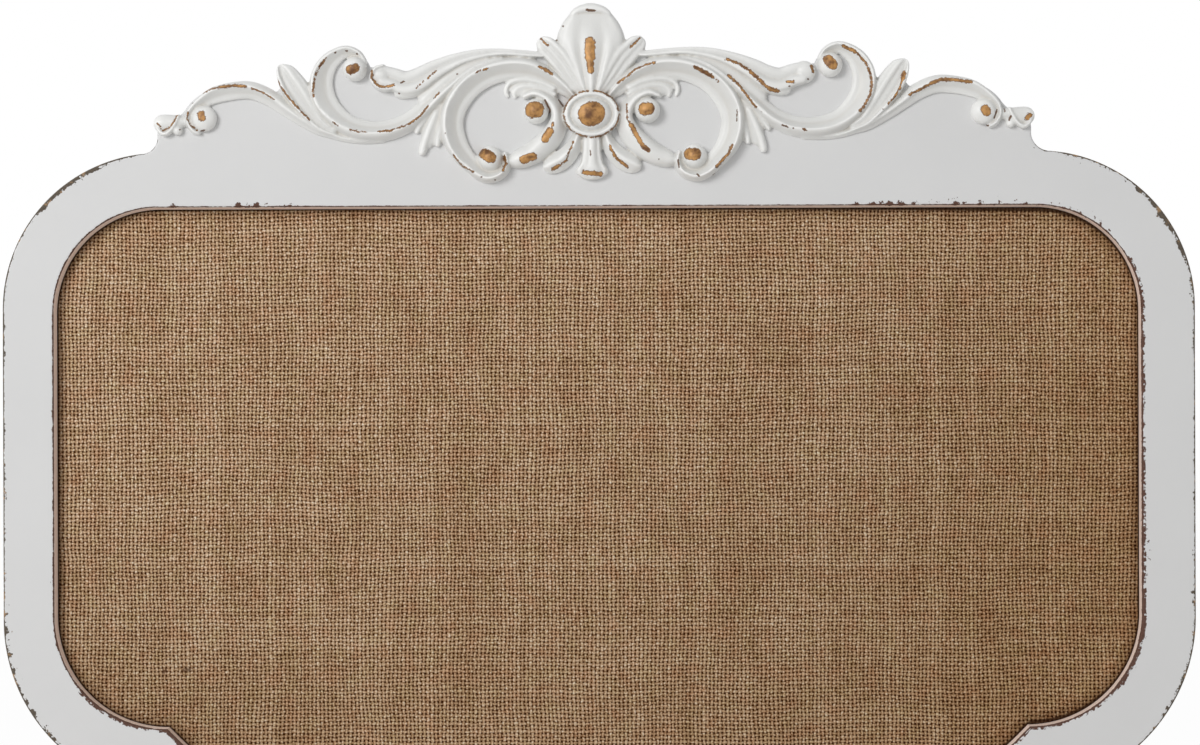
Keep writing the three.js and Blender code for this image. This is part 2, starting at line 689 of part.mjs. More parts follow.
function addPart(name, geometry, material, x = 0, y = 0, z = 0) {
  const mesh = new THREE.Mesh(geometry, material);
  mesh.name = name;
  mesh.position.set(x, y, z);
  pinBoard.add(mesh);
  return mesh;
}

addPart('frame_board', frameBoard(), boardPaint);
addPart('crest_casting', crestCasting(), castingPaint);
addPart('burlap_cover', burlapCover(), burlap);
addPart('cork_sheet', coreSheet(corkBackY, corkFrontY), cork);
addPart('hardboard_backer', coreSheet(backerBackY, backerFrontY), hardboard);

// Turn buttons, each with its screw
const buttonHeadY = hardwareSeatY + buttonThickness + clearance;
for (const { name, x, z, turn } of buttonPlaces) {
  const button = addPart(`turn_button_${name}`, turnButton(), platedSteel, x, hardwareSeatY, z);
  button.rotation.y = turn;
  addPart(`turn_button_screw_${name}`, screw(boardScrewLength), platedSteel, x, buttonHeadY, z);
}

// Hangers, each a strap, its ring and two screws
const ringBarY = hardwareSeatY + strapThickness + clearance + ringWireRadius;
const strapHeadY = hardwareSeatY + strapThickness + clearance;
for (const { name, side } of hangerSides) {
  const x = side * hangerSpacing / 2;
  addPart(`hanger_strap_${name}`, hangerStrap(), platedSteel, x, ringBarY, ringBarZ);
  addPart(`hanger_ring_${name}`, dRing(), platedSteel, x, ringBarY, ringBarZ);
  hangerScrewDrops.forEach((drop, i) => {
    const label = `hanger_screw_${name}_${i + 1}`;
    addPart(label, screw(boardScrewLength), platedSteel, x, strapHeadY, ringBarZ - drop);
  });
}

// Screws that hold the casting, put in from behind
castingScrewPlaces.forEach((place, i) => {
  const length = hardwareSeatY - crestBackY + castingScrewGrip;
  addPart(`casting_screw_${i + 1}`, screw(length), platedSteel, place.x, hardwareSeatY, place.y);
});

for (const { name, x, z } of bumperPlaces()) {
  addPart(`wall_bumper_${name}`, bumper(), rubber, x, 0, z);
}

export default pinBoard;
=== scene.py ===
# %% [markdown]
# # A fabric pin board
# The real thing is a board cut to a scrolled outline and painted white, with a cast ornament screwed to
# its crest, and a cork panel wrapped in burlap behind its opening. Six turn buttons hold the panel, and
# two ring hangers carry the board on a wall. The paint is sanded through along the edges. Each of these
# pieces is made here by itself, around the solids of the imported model, which fix every size and place.

# %% Load the solids
import json
import math

import bmesh
import bpy
import numpy as np
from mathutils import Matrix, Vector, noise

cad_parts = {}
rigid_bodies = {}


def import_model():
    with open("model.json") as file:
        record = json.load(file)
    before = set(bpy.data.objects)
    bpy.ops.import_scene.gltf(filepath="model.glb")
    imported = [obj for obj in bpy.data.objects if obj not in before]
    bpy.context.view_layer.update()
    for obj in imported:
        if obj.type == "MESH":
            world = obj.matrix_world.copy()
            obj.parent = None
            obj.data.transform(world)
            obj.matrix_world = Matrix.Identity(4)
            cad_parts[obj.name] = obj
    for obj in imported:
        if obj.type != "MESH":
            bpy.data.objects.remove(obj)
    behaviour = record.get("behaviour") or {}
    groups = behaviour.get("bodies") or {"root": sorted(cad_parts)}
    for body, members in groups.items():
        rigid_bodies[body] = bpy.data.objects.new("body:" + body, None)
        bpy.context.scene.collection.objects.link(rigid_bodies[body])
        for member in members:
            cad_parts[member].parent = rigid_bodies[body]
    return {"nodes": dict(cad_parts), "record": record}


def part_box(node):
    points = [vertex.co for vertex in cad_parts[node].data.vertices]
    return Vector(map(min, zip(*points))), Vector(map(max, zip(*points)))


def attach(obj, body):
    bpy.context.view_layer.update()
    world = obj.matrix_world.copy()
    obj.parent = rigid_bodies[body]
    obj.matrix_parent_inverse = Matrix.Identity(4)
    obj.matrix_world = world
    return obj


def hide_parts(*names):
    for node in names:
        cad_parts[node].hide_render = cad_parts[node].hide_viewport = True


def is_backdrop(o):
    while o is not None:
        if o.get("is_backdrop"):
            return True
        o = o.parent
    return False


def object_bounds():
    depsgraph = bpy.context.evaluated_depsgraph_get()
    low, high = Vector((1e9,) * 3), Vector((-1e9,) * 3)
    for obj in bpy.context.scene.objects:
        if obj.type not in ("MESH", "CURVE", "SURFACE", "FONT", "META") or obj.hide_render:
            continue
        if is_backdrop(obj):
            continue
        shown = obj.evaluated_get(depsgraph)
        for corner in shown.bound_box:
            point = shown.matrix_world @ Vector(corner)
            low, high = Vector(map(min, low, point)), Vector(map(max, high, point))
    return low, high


bpy.ops.object.select_all(action="SELECT")
bpy.ops.object.delete()
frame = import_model()
cad_low, cad_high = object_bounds()
scene = bpy.context.scene
scene.view_settings.view_transform = "Standard"
mm = 0.001
hair = 0.01 * mm  # for telling places apart
print("solids:", len(frame["nodes"]), "from", tuple(cad_low), "to", tuple(cad_high))

# %% [markdown]
# ## Camera
# The photograph looks straight at the board. The inner walls of the opening show as strips of only two
# or three pixels, so the camera stands far away: 1.8 m from the face. A pixel of the photograph is
# 0.55 mm on the face, and that settles the lens.

# %% Camera
board_low, board_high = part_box("frame_board")
face_y = board_low.y
back_y = board_high.y
pixel = 0.55 * mm
photo_size = (1200, 745)
middle_column = 599.0  # the photograph's column at x = 0
shoulder_row = 151.6  # and its row at the board's top shoulders
shoulder_z = -26 * mm
face_distance = 1.8
camera_roll = math.radians(0.18)

camera_x = (photo_size[0] / 2 - middle_column) * pixel
camera_z = shoulder_z - (photo_size[1] / 2 - shoulder_row) * pixel
bpy.ops.object.camera_add(
    location=(camera_x, face_y - face_distance, camera_z), rotation=(math.pi / 2, camera_roll, 0)
)
camera = bpy.context.object
camera.data.lens = camera.data.sensor_width * face_distance / (photo_size[0] * pixel)
scene.camera = camera
print("lens:", round(camera.data.lens, 1), "mm")


def turned(x, z, angle):
    """Places across and up after a turn about the way of looking."""
    return x * math.cos(angle) - z * math.sin(angle), x * math.sin(angle) + z * math.cos(angle)


def in_photograph(points):
    """The photograph's column and row of each point, as an array of rows [x, y, z] has them."""
    nearness = face_distance / (face_distance + points[:, 1] - face_y)
    right, up = turned(points[:, 0] - camera_x, points[:, 2] - camera_z, camera_roll)
    columns = photo_size[0] / 2 + right * nearness / pixel
    rows = photo_size[1] / 2 - up * nearness / pixel
    return np.stack([columns, rows], 1)


# %% [markdown]
# ## Working by hand from a script
# Modelling operators act on what is selected, so each helper first selects its piece alone.

# %% Helpers for meshes
def select_only(piece):
    bpy.ops.object.select_all(action="DESELECT")
    piece.select_set(True)
    bpy.context.view_layer.objects.active = piece


def new_piece(name, points, faces):
    mesh = bpy.data.meshes.new(name)
    mesh.from_pydata([tuple(point) for point in points], [], [tuple(face) for face in faces])
    piece = bpy.data.objects.new(name, mesh)
    scene.collection.objects.link(piece)
    return piece


def finish_with(piece, kind, **settings):
    """Adds a modifier and applies it."""
    select_only(piece)
    modifier = piece.modifiers.new(kind.lower(), kind)
    for setting, value in settings.items():
        setattr(modifier, setting, value)
    bpy.ops.object.modifier_apply(modifier=modifier.name)


def edit_whole(piece, action, **settings):
    """Runs an operator of edit mode on the whole piece."""
    select_only(piece)
    bpy.ops.object.mode_set(mode="EDIT")
    bpy.ops.mesh.select_all(action="SELECT")
    action(**settings)
    bpy.ops.object.mode_set(mode="OBJECT")


def face_outwards(piece):
    edit_whole(piece, bpy.ops.mesh.remove_doubles, threshold=hair / 10)
    edit_whole(piece, bpy.ops.mesh.normals_make_consistent, inside=False)


def made_piece(name):
    """The piece that an operator has just added, with its place and turn applied to its mesh."""
    piece = bpy.context.object
    piece.name = name
    bpy.ops.object.transform_apply(location=True, rotation=True, scale=True)
    return piece


def set_attribute(piece, name, values):
    """A number for each vertex, which a material can read by this name."""
    attribute = piece.data.attributes.new(name, "FLOAT", "POINT")
    attribute.data.foreach_set("value", np.asarray(values, np.float32))


def points_of(piece):
    points = np.zeros(len(piece.data.vertices) * 3, np.float32)
    piece.data.vertices.foreach_get("co", points)
    return points.reshape(-1, 3).astype(float)


def triangles_of(piece):
    return sum(len(polygon.vertices) - 2 for polygon in piece.data.polygons)


def smooth(piece, degrees=35):
    piece.data.shade_smooth()
    select_only(piece)
    bpy.ops.object.shade_smooth_by_angle(angle=math.radians(degrees))


# %% Helpers for the solids
body_of = {node: body for body, nodes in frame["record"]["behaviour"]["bodies"].items() for node in nodes}


def middle_of(node):
    low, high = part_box(node)
    return (low + high) / 2


# %% [markdown]
# ## Outlines
# The board and its opening are drawn as a saw follows them: level and upright runs, round corners, and
# at the bottom an S-shaped step on each side. A point every millimetre lets the edge be sanded unevenly.

# %% Runs of an outline
point_step = 1 * mm


def along(curve, length):
    """Points of a curve, which is a function of 0 to 1, without its last one."""
    count = max(2, math.ceil(length / point_step))
    return [curve(i / count) for i in range(count)]


def straight(start, end):
    start, end = np.array(start), np.array(end)
    return along(lambda t: start + (end - start) * t, np.linalg.norm(end - start))


def arc(centre, radius, start, end):
    def curve(t):
        angle = start + (end - start) * t
        return np.array(centre) + radius * np.array([math.cos(angle), math.sin(angle)])

    return along(curve, radius * abs(end - start))


def ogee(corner, run, drop):
    """The S-shaped step, from the bottom edge up to the corner under the shoulder."""
    level_share, diagonal_share = 0.45, 0.4
    x, z = corner
    level = [x - run * (1 - level_share), z - drop]
    diagonal = [x - run * diagonal_share, z - run * diagonal_share]
    controls = np.array([[x - run, z - drop], level, diagonal, [x, z]])

    def curve(t):
        shares = np.array([(1 - t) ** 3, 3 * t * (1 - t) ** 2, 3 * t * t * (1 - t), t**3])
        return shares @ controls

    return along(curve, run)


def smooth_row(rows, steps):
    """Rows of numbers eased into a smooth row that passes through each of them."""
    rows = np.array(rows, float)
    ends = np.vstack([rows[0], rows, rows[-1]])
    made = []
    for i in range(len(rows) - 1):
        before, here, after, later = ends[i : i + 4]
        slope, next_slope = (after - before) / 2, (later - here) / 2
        rise = after - here
        for step in range(steps):
            t = step / steps
            bend = (3 * rise - 2 * slope - next_slope) * t**2
            made.append(here + slope * t + bend + (slope + next_slope - 2 * rise) * t**3)
    made.append(rows[-1])
    return np.array(made)


def normals_of(outline):
    """For each point the way out, lengthened at a corner so that an offset keeps its distance."""
    runs = np.roll(outline, -1, 0) - outline
    after = np.stack([runs[:, 1], -runs[:, 0]], 1) / np.linalg.norm(runs, axis=1)[:, None]
    mitres = np.roll(after, 1, 0) + after
    mitres /= np.linalg.norm(mitres, axis=1)[:, None]
    return mitres / np.maximum((mitres * after).sum(1), 0.5)[:, None]


# %% [markdown]
# ## The drawing of the ornament
# The casting is drawn on a grid whose square is one pixel of the photograph, from the middle of its
# boss. A stroke of it is a list of stations: how far out, how far up, half its width, and its height as
# a share of the relief. The left half mirrors the right one, but the casting sits a little to the left
# and a third of a degree askew, as it was screwed on.

# %% The ornament's grid
crest_shift = -3.7 * mm
crest_z = shoulder_z + 20.2 * mm
crest_relief = face_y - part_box("crest_casting")[0].y
crest_tilt = math.radians(0.35)
wider_right = 0.006  # the right half is longer than drawn by this share, and the left half shorter


def crest_place(side, out, up):
    """Where a place of the drawing lies, as [x, z]. side is 1 to the right and -1 to the left."""
    x, z = turned((side + wider_right) * np.asarray(out) * pixel, np.asarray(up) * pixel, crest_tilt)
    return np.stack([crest_shift + x, crest_z + z], -1)


# %% [markdown]
# ## The board's outline
# Behind the ornament the board's edge follows the casting a little inside its own edge, so it doesn't
# show from the front.

# %% The board's outline and its opening
half_width = board_high.x
bottom_z = board_low.z
top_corner_radius = 86 * mm
bottom_corner_radius = 95 * mm
cove_radius = {1: 10.5 * mm, -1: 9 * mm}  # on the right and on the left
bottom_drop = 19.5 * mm
ogee_run = 35 * mm
stile_width = 28 * mm
top_rail_width = 30 * mm
bottom_rail_width = 35 * mm
opening_top_radius = 58 * mm
opening_bottom_radius = 62 * mm
opening_drop = 20 * mm

crest_edge_shares = [
    [437, -16], [434, -2], [420, 0], [411, 6], [403, 16], [391, 25], [375, 31], [357, 33], [338, 31],
    [322, 25], [313, 30], [311, 45], [306, 47], [298, 41], [290, 33], [284, 33], [279, 43], [273, 54],
    [262, 64.5], [250, 69], [238, 67], [228, 60], [222, 50], [213, 50], [202, 44.5], [190, 40.5], [178, 44],
    [160, 52], [143, 58], [120, 63], [96, 64.5], [72, 61.5], [58, 57], [51, 62], [50, 73], [36, 73],
    [27, 88], [20, 101], [9, 108.5], [0, 109],
]  # fmt: skip
quarter = math.pi / 2


def body_run(half, shoulder, drop, bottom_radius, top, top_radius, turn):
    """From the middle of a bottom edge over its S-shaped step and up the side, round both corners."""
    bottom_corner = (half - bottom_radius, shoulder + bottom_radius)
    top_corner = (half - top_radius, top - top_radius)
    return [
        *straight((0, shoulder - drop), (bottom_corner[0] - ogee_run, shoulder - drop)),
        *ogee((bottom_corner[0], shoulder), ogee_run, drop),
        *arc(bottom_corner, bottom_radius, -quarter, 0),
        *straight((half, bottom_corner[1]), (half, top_corner[1])),
        *arc(top_corner, top_radius, 0, turn),
    ]


def board_side(side):
    """One side of the board, from the middle of its bottom edge up to the middle of its crest."""
    edge = smooth_row(crest_edge_shares, 3)
    crest = crest_place(side, edge[:, 0], edge[:, 1])
    cove = cove_radius[side]
    cove_x = side * crest[0][0] + cove
    turn = math.acos((cove_x - half_width + top_corner_radius) / top_corner_radius)
    cove_z = shoulder_z - top_corner_radius + top_corner_radius * math.sin(turn) + cove
    bottom = (bottom_z + bottom_drop, bottom_drop, bottom_corner_radius)
    body = body_run(half_width, *bottom, shoulder_z, top_corner_radius, turn)
    body += arc((cove_x, cove_z), cove, -quarter, -2 * quarter)
    return np.vstack([np.array(body) * [side, 1], crest]), len(body)


def board_outline():
    """The outline, and for each point whether it lies behind the ornament."""
    right, right_body = board_side(1)
    left, left_body = board_side(-1)
    behind = np.zeros(len(right) + len(left) - 2)
    behind[right_body : len(right) + len(left) - 1 - left_body] = 1
    return np.vstack([right, left[::-1][1:-1]]), behind


def opening_outline():
    inner, top = half_width - stile_width, shoulder_z - top_rail_width
    bottom = (bottom_z + bottom_drop + bottom_rail_width, opening_drop, opening_bottom_radius)
    right = body_run(inner, *bottom, top, opening_top_radius, quarter)
    right += [*straight((inner - opening_top_radius, top), (0, top)), np.array([0, top])]
    return np.vstack([right, np.array(right[::-1][1:-1]) * [-1, 1]])


board_edge, behind_crest = board_outline()
opening_edge = opening_outline()
print("outline points:", len(board_edge), "opening points:", len(opening_edge))

# %% [markdown]
# ## The board
# The board is one skin: rings of points that follow the outline from the face, over the rounded edge,
# down the wall and onto the back, and the same at the opening, where they step round the rebate. The
# flat bands between the rings are filled. Sanding by hand isn't even, so the radius of the edge and a
# shallow dent here and there follow smooth noise along the edge. Each vertex also keeps how far it is
# from the edge and how far the sanding reached there, for the paint.

# %% How the edge is sanded
def wander(points, size, seed):
    """Smooth noise from -1 to 1 at each point [x, z], with waves of about this size."""
    return np.array([noise.noise((x / size, z / size, seed)) for x, z in points])


def sanded_radius(outline, seed):
    return (1 + 0.25 * wander(outline, 14 * mm, seed)) * mm


def dent_depth(outline, seed):
    rough = wander(outline, 5 * mm, seed) + 0.6 * wander(outline, 2.2 * mm, seed + 7)
    return np.clip(rough - 0.25, 0, 1) * 0.4 * mm


def near(values, low, high, soft):
    """1 where the values lie between low and high, easing to 0 over soft outside."""
    return np.clip((values - low) / soft + 1, 0, 1) * np.clip((high - values) / soft + 1, 0, 1)


def shares_in(columns, rows, table):
    """Adds rows of [share, first column, last column, softness, first row, last row, softness]."""
    return sum(share * near(columns, *region[:3]) * near(rows, *region[3:]) for share, *region in table)


def columns_and_rows(outline):
    """Where the points of an outline on the face lie in the photograph."""
    points = np.stack([outline[:, 0], np.full(len(outline), face_y), outline[:, 1]], 1)
    return in_photograph(points).T


# %% How far the sanding reached, from the photograph
# Rows are [column, row, reach, half length] of the nicks that stand out, in pixels.
opening_nicks = [
    [173, 204, 2.4, 3], [239, 203, 2.6, 3], [248, 203, 2, 3], [257, 202.5, 2.2, 2.5], [291, 202, 1.4, 3],
    [857, 198, 1.6, 3], [873, 198, 1.6, 4], [891, 198, 2.8, 3], [902, 198, 2.8, 4], [958, 199, 2.8, 2.5],
    [982, 198, 3.6, 1.6], [1067, 201, 2, 2], [1083, 205, 1, 6], [1093, 209, 1, 4], [1132, 259, 1.6, 2.5],
    [1154, 622, 2.2, 3.5],
]  # fmt: skip
outer_nicks = [
    [43, 206, 2, 4], [61, 193, 1.6, 5], [1045, 151, 1.2, 1.5], [1102, 168, 2.2, 3], [1112, 173, 2.4, 3],
    [1140, 189, 1.6, 3], [1156, 203, 1.8, 3], [1163, 211, 2.8, 5], [1170, 221, 1.6, 5], [1178, 248, 1.8, 6],
    [1188, 281, 1.6, 3], [4, 630, 1.8, 5], [7.5, 655, 2, 2.5], [12, 672, 1, 2.5], [17, 686, 0.8, 2.5],
    [25, 703, 1.5, 2.5], [31, 714, 2.2, 3.5], [51, 734, 2.6, 2.5], [55, 739, 2.2, 2.5], [1191, 572, 2, 1.5],
    [1195, 592, 2.4, 2], [1195, 603, 1.8, 2], [1188, 675, 0.9, 3], [1171, 708, 1.2, 2],
]  # fmt: skip


def nick_reach(columns, rows, nicks, slack=0):
    """How far the nicks reach at each place. A nick's own row may be off the edge by the slack."""
    reach = np.zeros(len(columns))
    for column, row, most, half in nicks:
        away = np.hypot(columns - column, np.clip(abs(rows - row) - slack, 0, None))
        reach = np.maximum(reach, most * np.exp(-((away / half) ** 2)))
    return reach


# Where the rubs and chips are more: [share, first column, last, softness, first row, last, softness].
outer_patches = [
    [0.7, 42, 96, 8, 160, 215, 12], [0.15, -20, 300, 30, 640, 760, 20], [0.5, 1140, 1200, 8, 180, 300, 20],
]  # fmt: skip
cove_patches = [[0.7, 430, 460, 6, 100, 158, 4]]  # with its columns counted from the middle
opening_patches = [
    [0.85, 1125, 1200, 12, 290, 700, 40], [0.65, 60, 200, 10, 690, 760, 12],
    [0.45, 1000, 1200, 20, 620, 760, 20],
]  # fmt: skip
outer_chips = [
    [0.9, -20, 70, 10, 600, 760, 20], [0.7, 1040, 1200, 10, 140, 300, 10], [0.8, 40, 100, 10, 160, 215, 10],
]  # fmt: skip
opening_chips = [
    [0.9, 165, 178, 3, 196, 232, 6], [0.9, 236, 296, 5, 196, 232, 6], [0.9, 880, 1115, 10, 196, 232, 6],
    [0.8, 1130, 1200, 8, 480, 730, 30],
]  # fmt: skip
nick_slack, slack_above_row = 6, 215


def outer_reach(outline):
    """The outside edge is rubbed thinly all round as a dark line, which also stands in for the shade of its
    side, and wider at its upper corners and low on the left.
    """
    columns, rows = columns_and_rows(outline)
    patches = shares_in(columns, rows, outer_patches)
    waves = wander(outline, 22 * mm, 3.5) + 0.7 * wander(outline, 7 * mm, 9.5)
    even = 1.15 + patches + (0.25 + 0.5 * patches) * waves
    even *= 1 - shares_in(abs(columns - middle_column), rows, cove_patches)
    return (even + nick_reach(columns, rows, outer_nicks)) * pixel


def opening_reach(outline):
    """The opening's edge is rubbed most at its bottom corners and low on the right."""
    columns, rows = columns_and_rows(outline)
    rubbed = shares_in(columns, rows, opening_patches)
    waves = wander(outline, 16 * mm, 1.5) + 0.8 * wander(outline, 5 * mm, 4.5)
    nicks = 0.9 * nick_reach(columns, rows, opening_nicks, nick_slack * (rows < slack_above_row))
    at_top = near(rows, 150, 212, 10)
    return (0.95 - 0.3 * at_top + rubbed + (0.15 + 0.45 * rubbed) * waves + nicks) * pixel


def chip_share(outline, chips):
    """Where small chips of paint came off beside the edge."""
    return shares_in(*columns_and_rows(outline), chips)


# %% Skin of the board
face_insets = np.array([8, 5, 3, 2]) * mm
edge_turns = np.linspace(0, quarter, 6)
shaded_rim_depth = 1.4 * mm  # the last of the opening's wall is painted dark brown, as shade beside the cloth
right_rim = 1.6 * mm  # the opening is this much narrower on the right than its rebate
near_front, near_rim = 2.5 * mm, 6 * mm  # how far from the edge the wall's first two rings count
far_in = 9 * mm  # a distance that counts as far from any edge
back_round = 1 * mm


def rim_inset(outline):
    """How much narrower the opening is than its rebate at each point of its outline."""
    full_from = 0.8 * outline[:, 0].max()
    return right_rim * np.clip(outline[:, 0] / full_from, 0, 1) ** 2


def wall_lean(outward):
    """How far the opening's wall leans in from front to back, which is more at the left and the top."""
    return 0.55 * mm + 0.4 * mm * np.clip(outward[:, 1] - outward[:, 0], 0, 1)


def foot_share(outline):
    """1 along the outline and small at its feet, where rings further in would cross."""
    turn = np.linalg.norm(np.roll(outline, 1, 0) + np.roll(outline, -1, 0) - 2 * outline, axis=1)
    feet = outline[turn > 0.5 * point_step]
    away = np.linalg.norm(outline[:, None] - feet[None], axis=2).min(1)
    return np.clip(0.15 + 0.13 * away / mm, 0, 1)


def ring_at(outline, outward, offset, y):
    """The outline moved outwards, at one depth or at a depth for each point, as rows [x, y, z]."""
    moved = outline + outward * np.reshape(offset, (-1, 1))
    return np.stack([moved[:, 0], np.broadcast_to(y, len(moved)), moved[:, 1]], 1)


def ring_over_edge(outline, outward, radius, dent, inset_share, wall_y, lean=0):
    """Rings [x, y, z] from the face over the edge to a depth on the wall, and their distances from it."""
    rows = []
    for inset in face_insets:
        shrunk = np.maximum(inset * inset_share, radius * 1.2)
        rows.append((-shrunk, face_y, shrunk - radius))
    for turn in edge_turns:
        dented = dent * math.sin(2 * turn) / 2
        depth = face_y + radius * (1 - math.cos(turn)) + dented
        rows.append((radius * (math.sin(turn) - 1) - dented, depth, radius * abs(turn - quarter / 2)))
    depths = face_y + near_front, wall_y - shaded_rim_depth, wall_y - shaded_rim_depth / 2, wall_y
    for y, distance in zip(depths, (near_front, near_rim, far_in, far_in)):
        rows.append((lean * (y - face_y) / (wall_y - face_y), y, np.full(len(outline), distance)))
    rings = [ring_at(outline, outward, offset, y) for offset, y, distance in rows]
    return rings, [distance for offset, y, distance in rows]


def skin(rings, first):
    """Quads between rings of alike points, whose vertices start at number first."""
    count = len(rings[0])
    faces = []
    for here in range(first, first + (len(rings) - 1) * count, count):
        for j in range(count):
            k = (j + 1) % count
            faces.append((here + j, here + k, here + count + k, here + count + j))
    return faces


def close_skin(piece, bands):
    """Fills flat bands, each between closed rows of vertices given as (first vertex, how many)."""
    shape = bmesh.new()
    shape.from_mesh(piece.data)
    shape.verts.ensure_lookup_table()
    for band in bands:
        edges = []
        for first, count in band:
            loop = [shape.verts[first + i] for i in range(count)]
            edges += [shape.edges.get((loop[i], loop[(i + 1) % count])) for i in range(count)]
        bmesh.ops.triangle_fill(shape, edges=edges, use_beauty=True)
    bmesh.ops.recalc_face_normals(shape, faces=shape.faces)
    shape.to_mesh(piece.data)
    shape.free()


# %% Make the board
def board_rings():
    """The rings over the outer edge and over the opening's edge, and their distances from the edge."""
    outer_normals = normals_of(board_edge)
    radius = sanded_radius(board_edge, 11.5) * (1 - 0.4 * behind_crest)
    dent = dent_depth(board_edge, 2.5) * (1 - behind_crest)
    inset_share = 1 - 0.94 * behind_crest  # the casting hides these rings, which lie close together
    wall_y = back_y - back_round
    outer, outer_far = ring_over_edge(board_edge, outer_normals, radius, dent, inset_share, wall_y)
    for inset, depth in ((0.3 * back_round, 0.3 * back_round), (back_round, 0)):
        outer.append(ring_at(board_edge, outer_normals, -inset, back_y - depth))
    rim_edge = opening_edge.copy()
    rim_edge[:, 0] -= rim_inset(opening_edge)
    rim_normals = normals_of(rim_edge)
    radius, dent = sanded_radius(opening_edge, 5.5), dent_depth(opening_edge, 6.5)
    opening, opening_far = ring_over_edge(
        rim_edge, -rim_normals, radius, dent, foot_share(rim_edge), lip_back_y, wall_lean(rim_normals)
    )
    for y in (lip_back_y, back_y):
        opening.append(ring_at(opening_edge, normals_of(opening_edge), rebate_width, y))
    return outer, outer_far, opening, opening_far


def make_board():
    outer, outer_far, opening, opening_far = board_rings()
    outer_count, opening_count = len(board_edge), len(opening_edge)
    opening_first = len(outer) * outer_count
    faces = skin(outer, 0) + [face[::-1] for face in skin(opening, opening_first)]
    board = new_piece("painted_board", np.vstack(outer + opening), faces)
    last_outer = (len(outer) - 1) * outer_count
    last_opening = opening_first + (len(opening) - 1) * opening_count
    front_band = [(0, outer_count), (opening_first, opening_count)]
    close_skin(board, [front_band, [(last_outer, outer_count), (last_opening, opening_count)]])

    def on_edges(name, outer_rows, opening_rows, elsewhere=0):
        """Keeps rows of values for the rings over the outer edge and the opening's edge."""
        values = np.full(len(board.data.vertices), float(elsewhere))
        values[: len(outer_rows)] = outer_rows
        values[opening_first : opening_first + len(opening_rows)] = opening_rows
        set_attribute(board, name, values)

    def along_rings(name, outer_row, opening_row):
        """Keeps one row of values for every ring over an edge, and none behind the casting."""
        outer_rows = np.tile(outer_row * (1 - behind_crest), len(outer_far))
        on_edges(name, outer_rows, np.tile(opening_row, len(opening_far)))

    hidden = np.tile(far_in * behind_crest, len(outer_far))
    on_edges("from_edge", np.maximum(np.concatenate(outer_far), hidden), np.concatenate(opening_far), far_in)
    along_rings("sanded", outer_reach(board_edge), opening_reach(opening_edge))
    along_rings("chipped", chip_share(board_edge, outer_chips), chip_share(opening_edge, opening_chips))
    wall_first = len(face_insets) + len(edge_turns) - 1
    on_edges("on_wall", [0], np.repeat(np.arange(len(opening_far)) >= wall_first, opening_count))
    on_edges("at_opening", [0], np.ones(len(opening) * opening_count))
    return board


cloth_low, cloth_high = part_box("burlap_cover")
lip_play = 0.3 * mm  # from the lip's back to the cloth
lip_back_y = cloth_low.y - lip_play
rebate_width = 8 * mm
board = make_board()
smooth(board)
print("board:", triangles_of(board), "triangles")

# %% [markdown]
# ## The cast ornament
# A carver builds such a scroll from bands that follow curves. Each stroke here is a band skinned through
# its stations, with a moulded section: a scroll has a sharp ridge over a hollow, and a leaf has lobes
# with creases between them. The strokes overlap freely. A voxel remesh then makes them one casting, as
# the mould did, and a light smoothing gives the soft corners of thick paint.

# %% Strokes of the scrolls
# Rows are [out, up, half width, height share, ridge]: the ridge runs from -1 inside to 1 outside.
end_scroll_shares = [
    [208, -25, 1.5, 0.2, 0], [230, -25, 2.2, 0.24, 0], [248, -22, 3, 0.29, 0], [262, -17.5, 3.8, 0.34, 0],
    [275, -13, 4.6, 0.36, 0], [287, -5.5, 5.6, 0.38, 0], [298, 2, 6.6, 0.4, 0], [309, 10, 7.4, 0.41, 0],
    [324, 20.5, 8.5, 0.43, 0.1], [342, 27.5, 9, 0.46, 0.25], [360, 27, 9, 0.48, 0.5],
    [378, 23, 8.5, 0.48, 0.6], [392, 15.5, 6.5, 0.48, 0.5], [402, 6, 5, 0.46, 0.4],
    [404.5, -3.5, 4, 0.45, 0.2], [400, -12, 3.8, 0.42, 0], [393, -15.5, 2.4, 0.36, 0],
]  # fmt: skip
big_scroll_shares = [
    [226, 52, 3, 0.4, 0.4], [234, 62, 4.5, 0.46, 0.4], [245, 65.5, 6, 0.5, 0.5], [256, 61, 8, 0.54, 0.55],
    [265, 52.5, 10, 0.57, 0.65], [270.5, 40.5, 11.5, 0.59, 0.72], [271, 27.5, 12, 0.61, 0.72],
    [267, 14.5, 12, 0.62, 0.68], [259, 3, 11.5, 0.62, 0.5], [247, -7.5, 11, 0.62, 0.3],
    [232, -13.5, 11, 0.62, 0.2], [214, -15, 10.5, 0.62, 0.15], [196, -11.5, 10, 0.62, 0.2],
    [180, -3.5, 9.5, 0.62, 0.2], [167, 7.5, 9, 0.61, 0.2], [155, 19.5, 8.5, 0.61, 0.2],
    [142, 31, 8, 0.59, 0.2], [130, 41, 7, 0.57, 0.2], [117, 49, 6, 0.53, 0.1], [102, 55, 5, 0.47, 0.1],
    [87, 57, 3, 0.4, 0],
]  # fmt: skip
middle_scroll_shares = [
    [17, 16, 3, 0.45, 0.3], [27, 26, 7, 0.56, 0.3], [39, 35.3, 9, 0.61, 0.3], [52, 42.5, 10.5, 0.65, 0.3],
    [67, 46.6, 11.5, 0.67, 0.35], [85, 46.3, 12, 0.68, 0.4], [102, 42, 12, 0.69, 0.45],
    [118, 33, 12, 0.71, 0.55], [130, 21, 12.3, 0.71, 0.55], [138.3, 7, 12.5, 0.71, 0.5],
    [141.2, -8, 12.5, 0.71, 0.45], [138.5, -23, 12, 0.71, 0.5], [131, -37, 10.5, 0.71, 0.6],
    [121, -48, 9, 0.71, 0.55], [113, -56, 8.5, 0.69, 0.4], [103, -60.5, 7.5, 0.69, 0.3],
    [91, -57, 6, 0.67, 0.1], [85.5, -47, 5, 0.61, 0], [88, -36.5, 3, 0.52, 0],
]  # fmt: skip
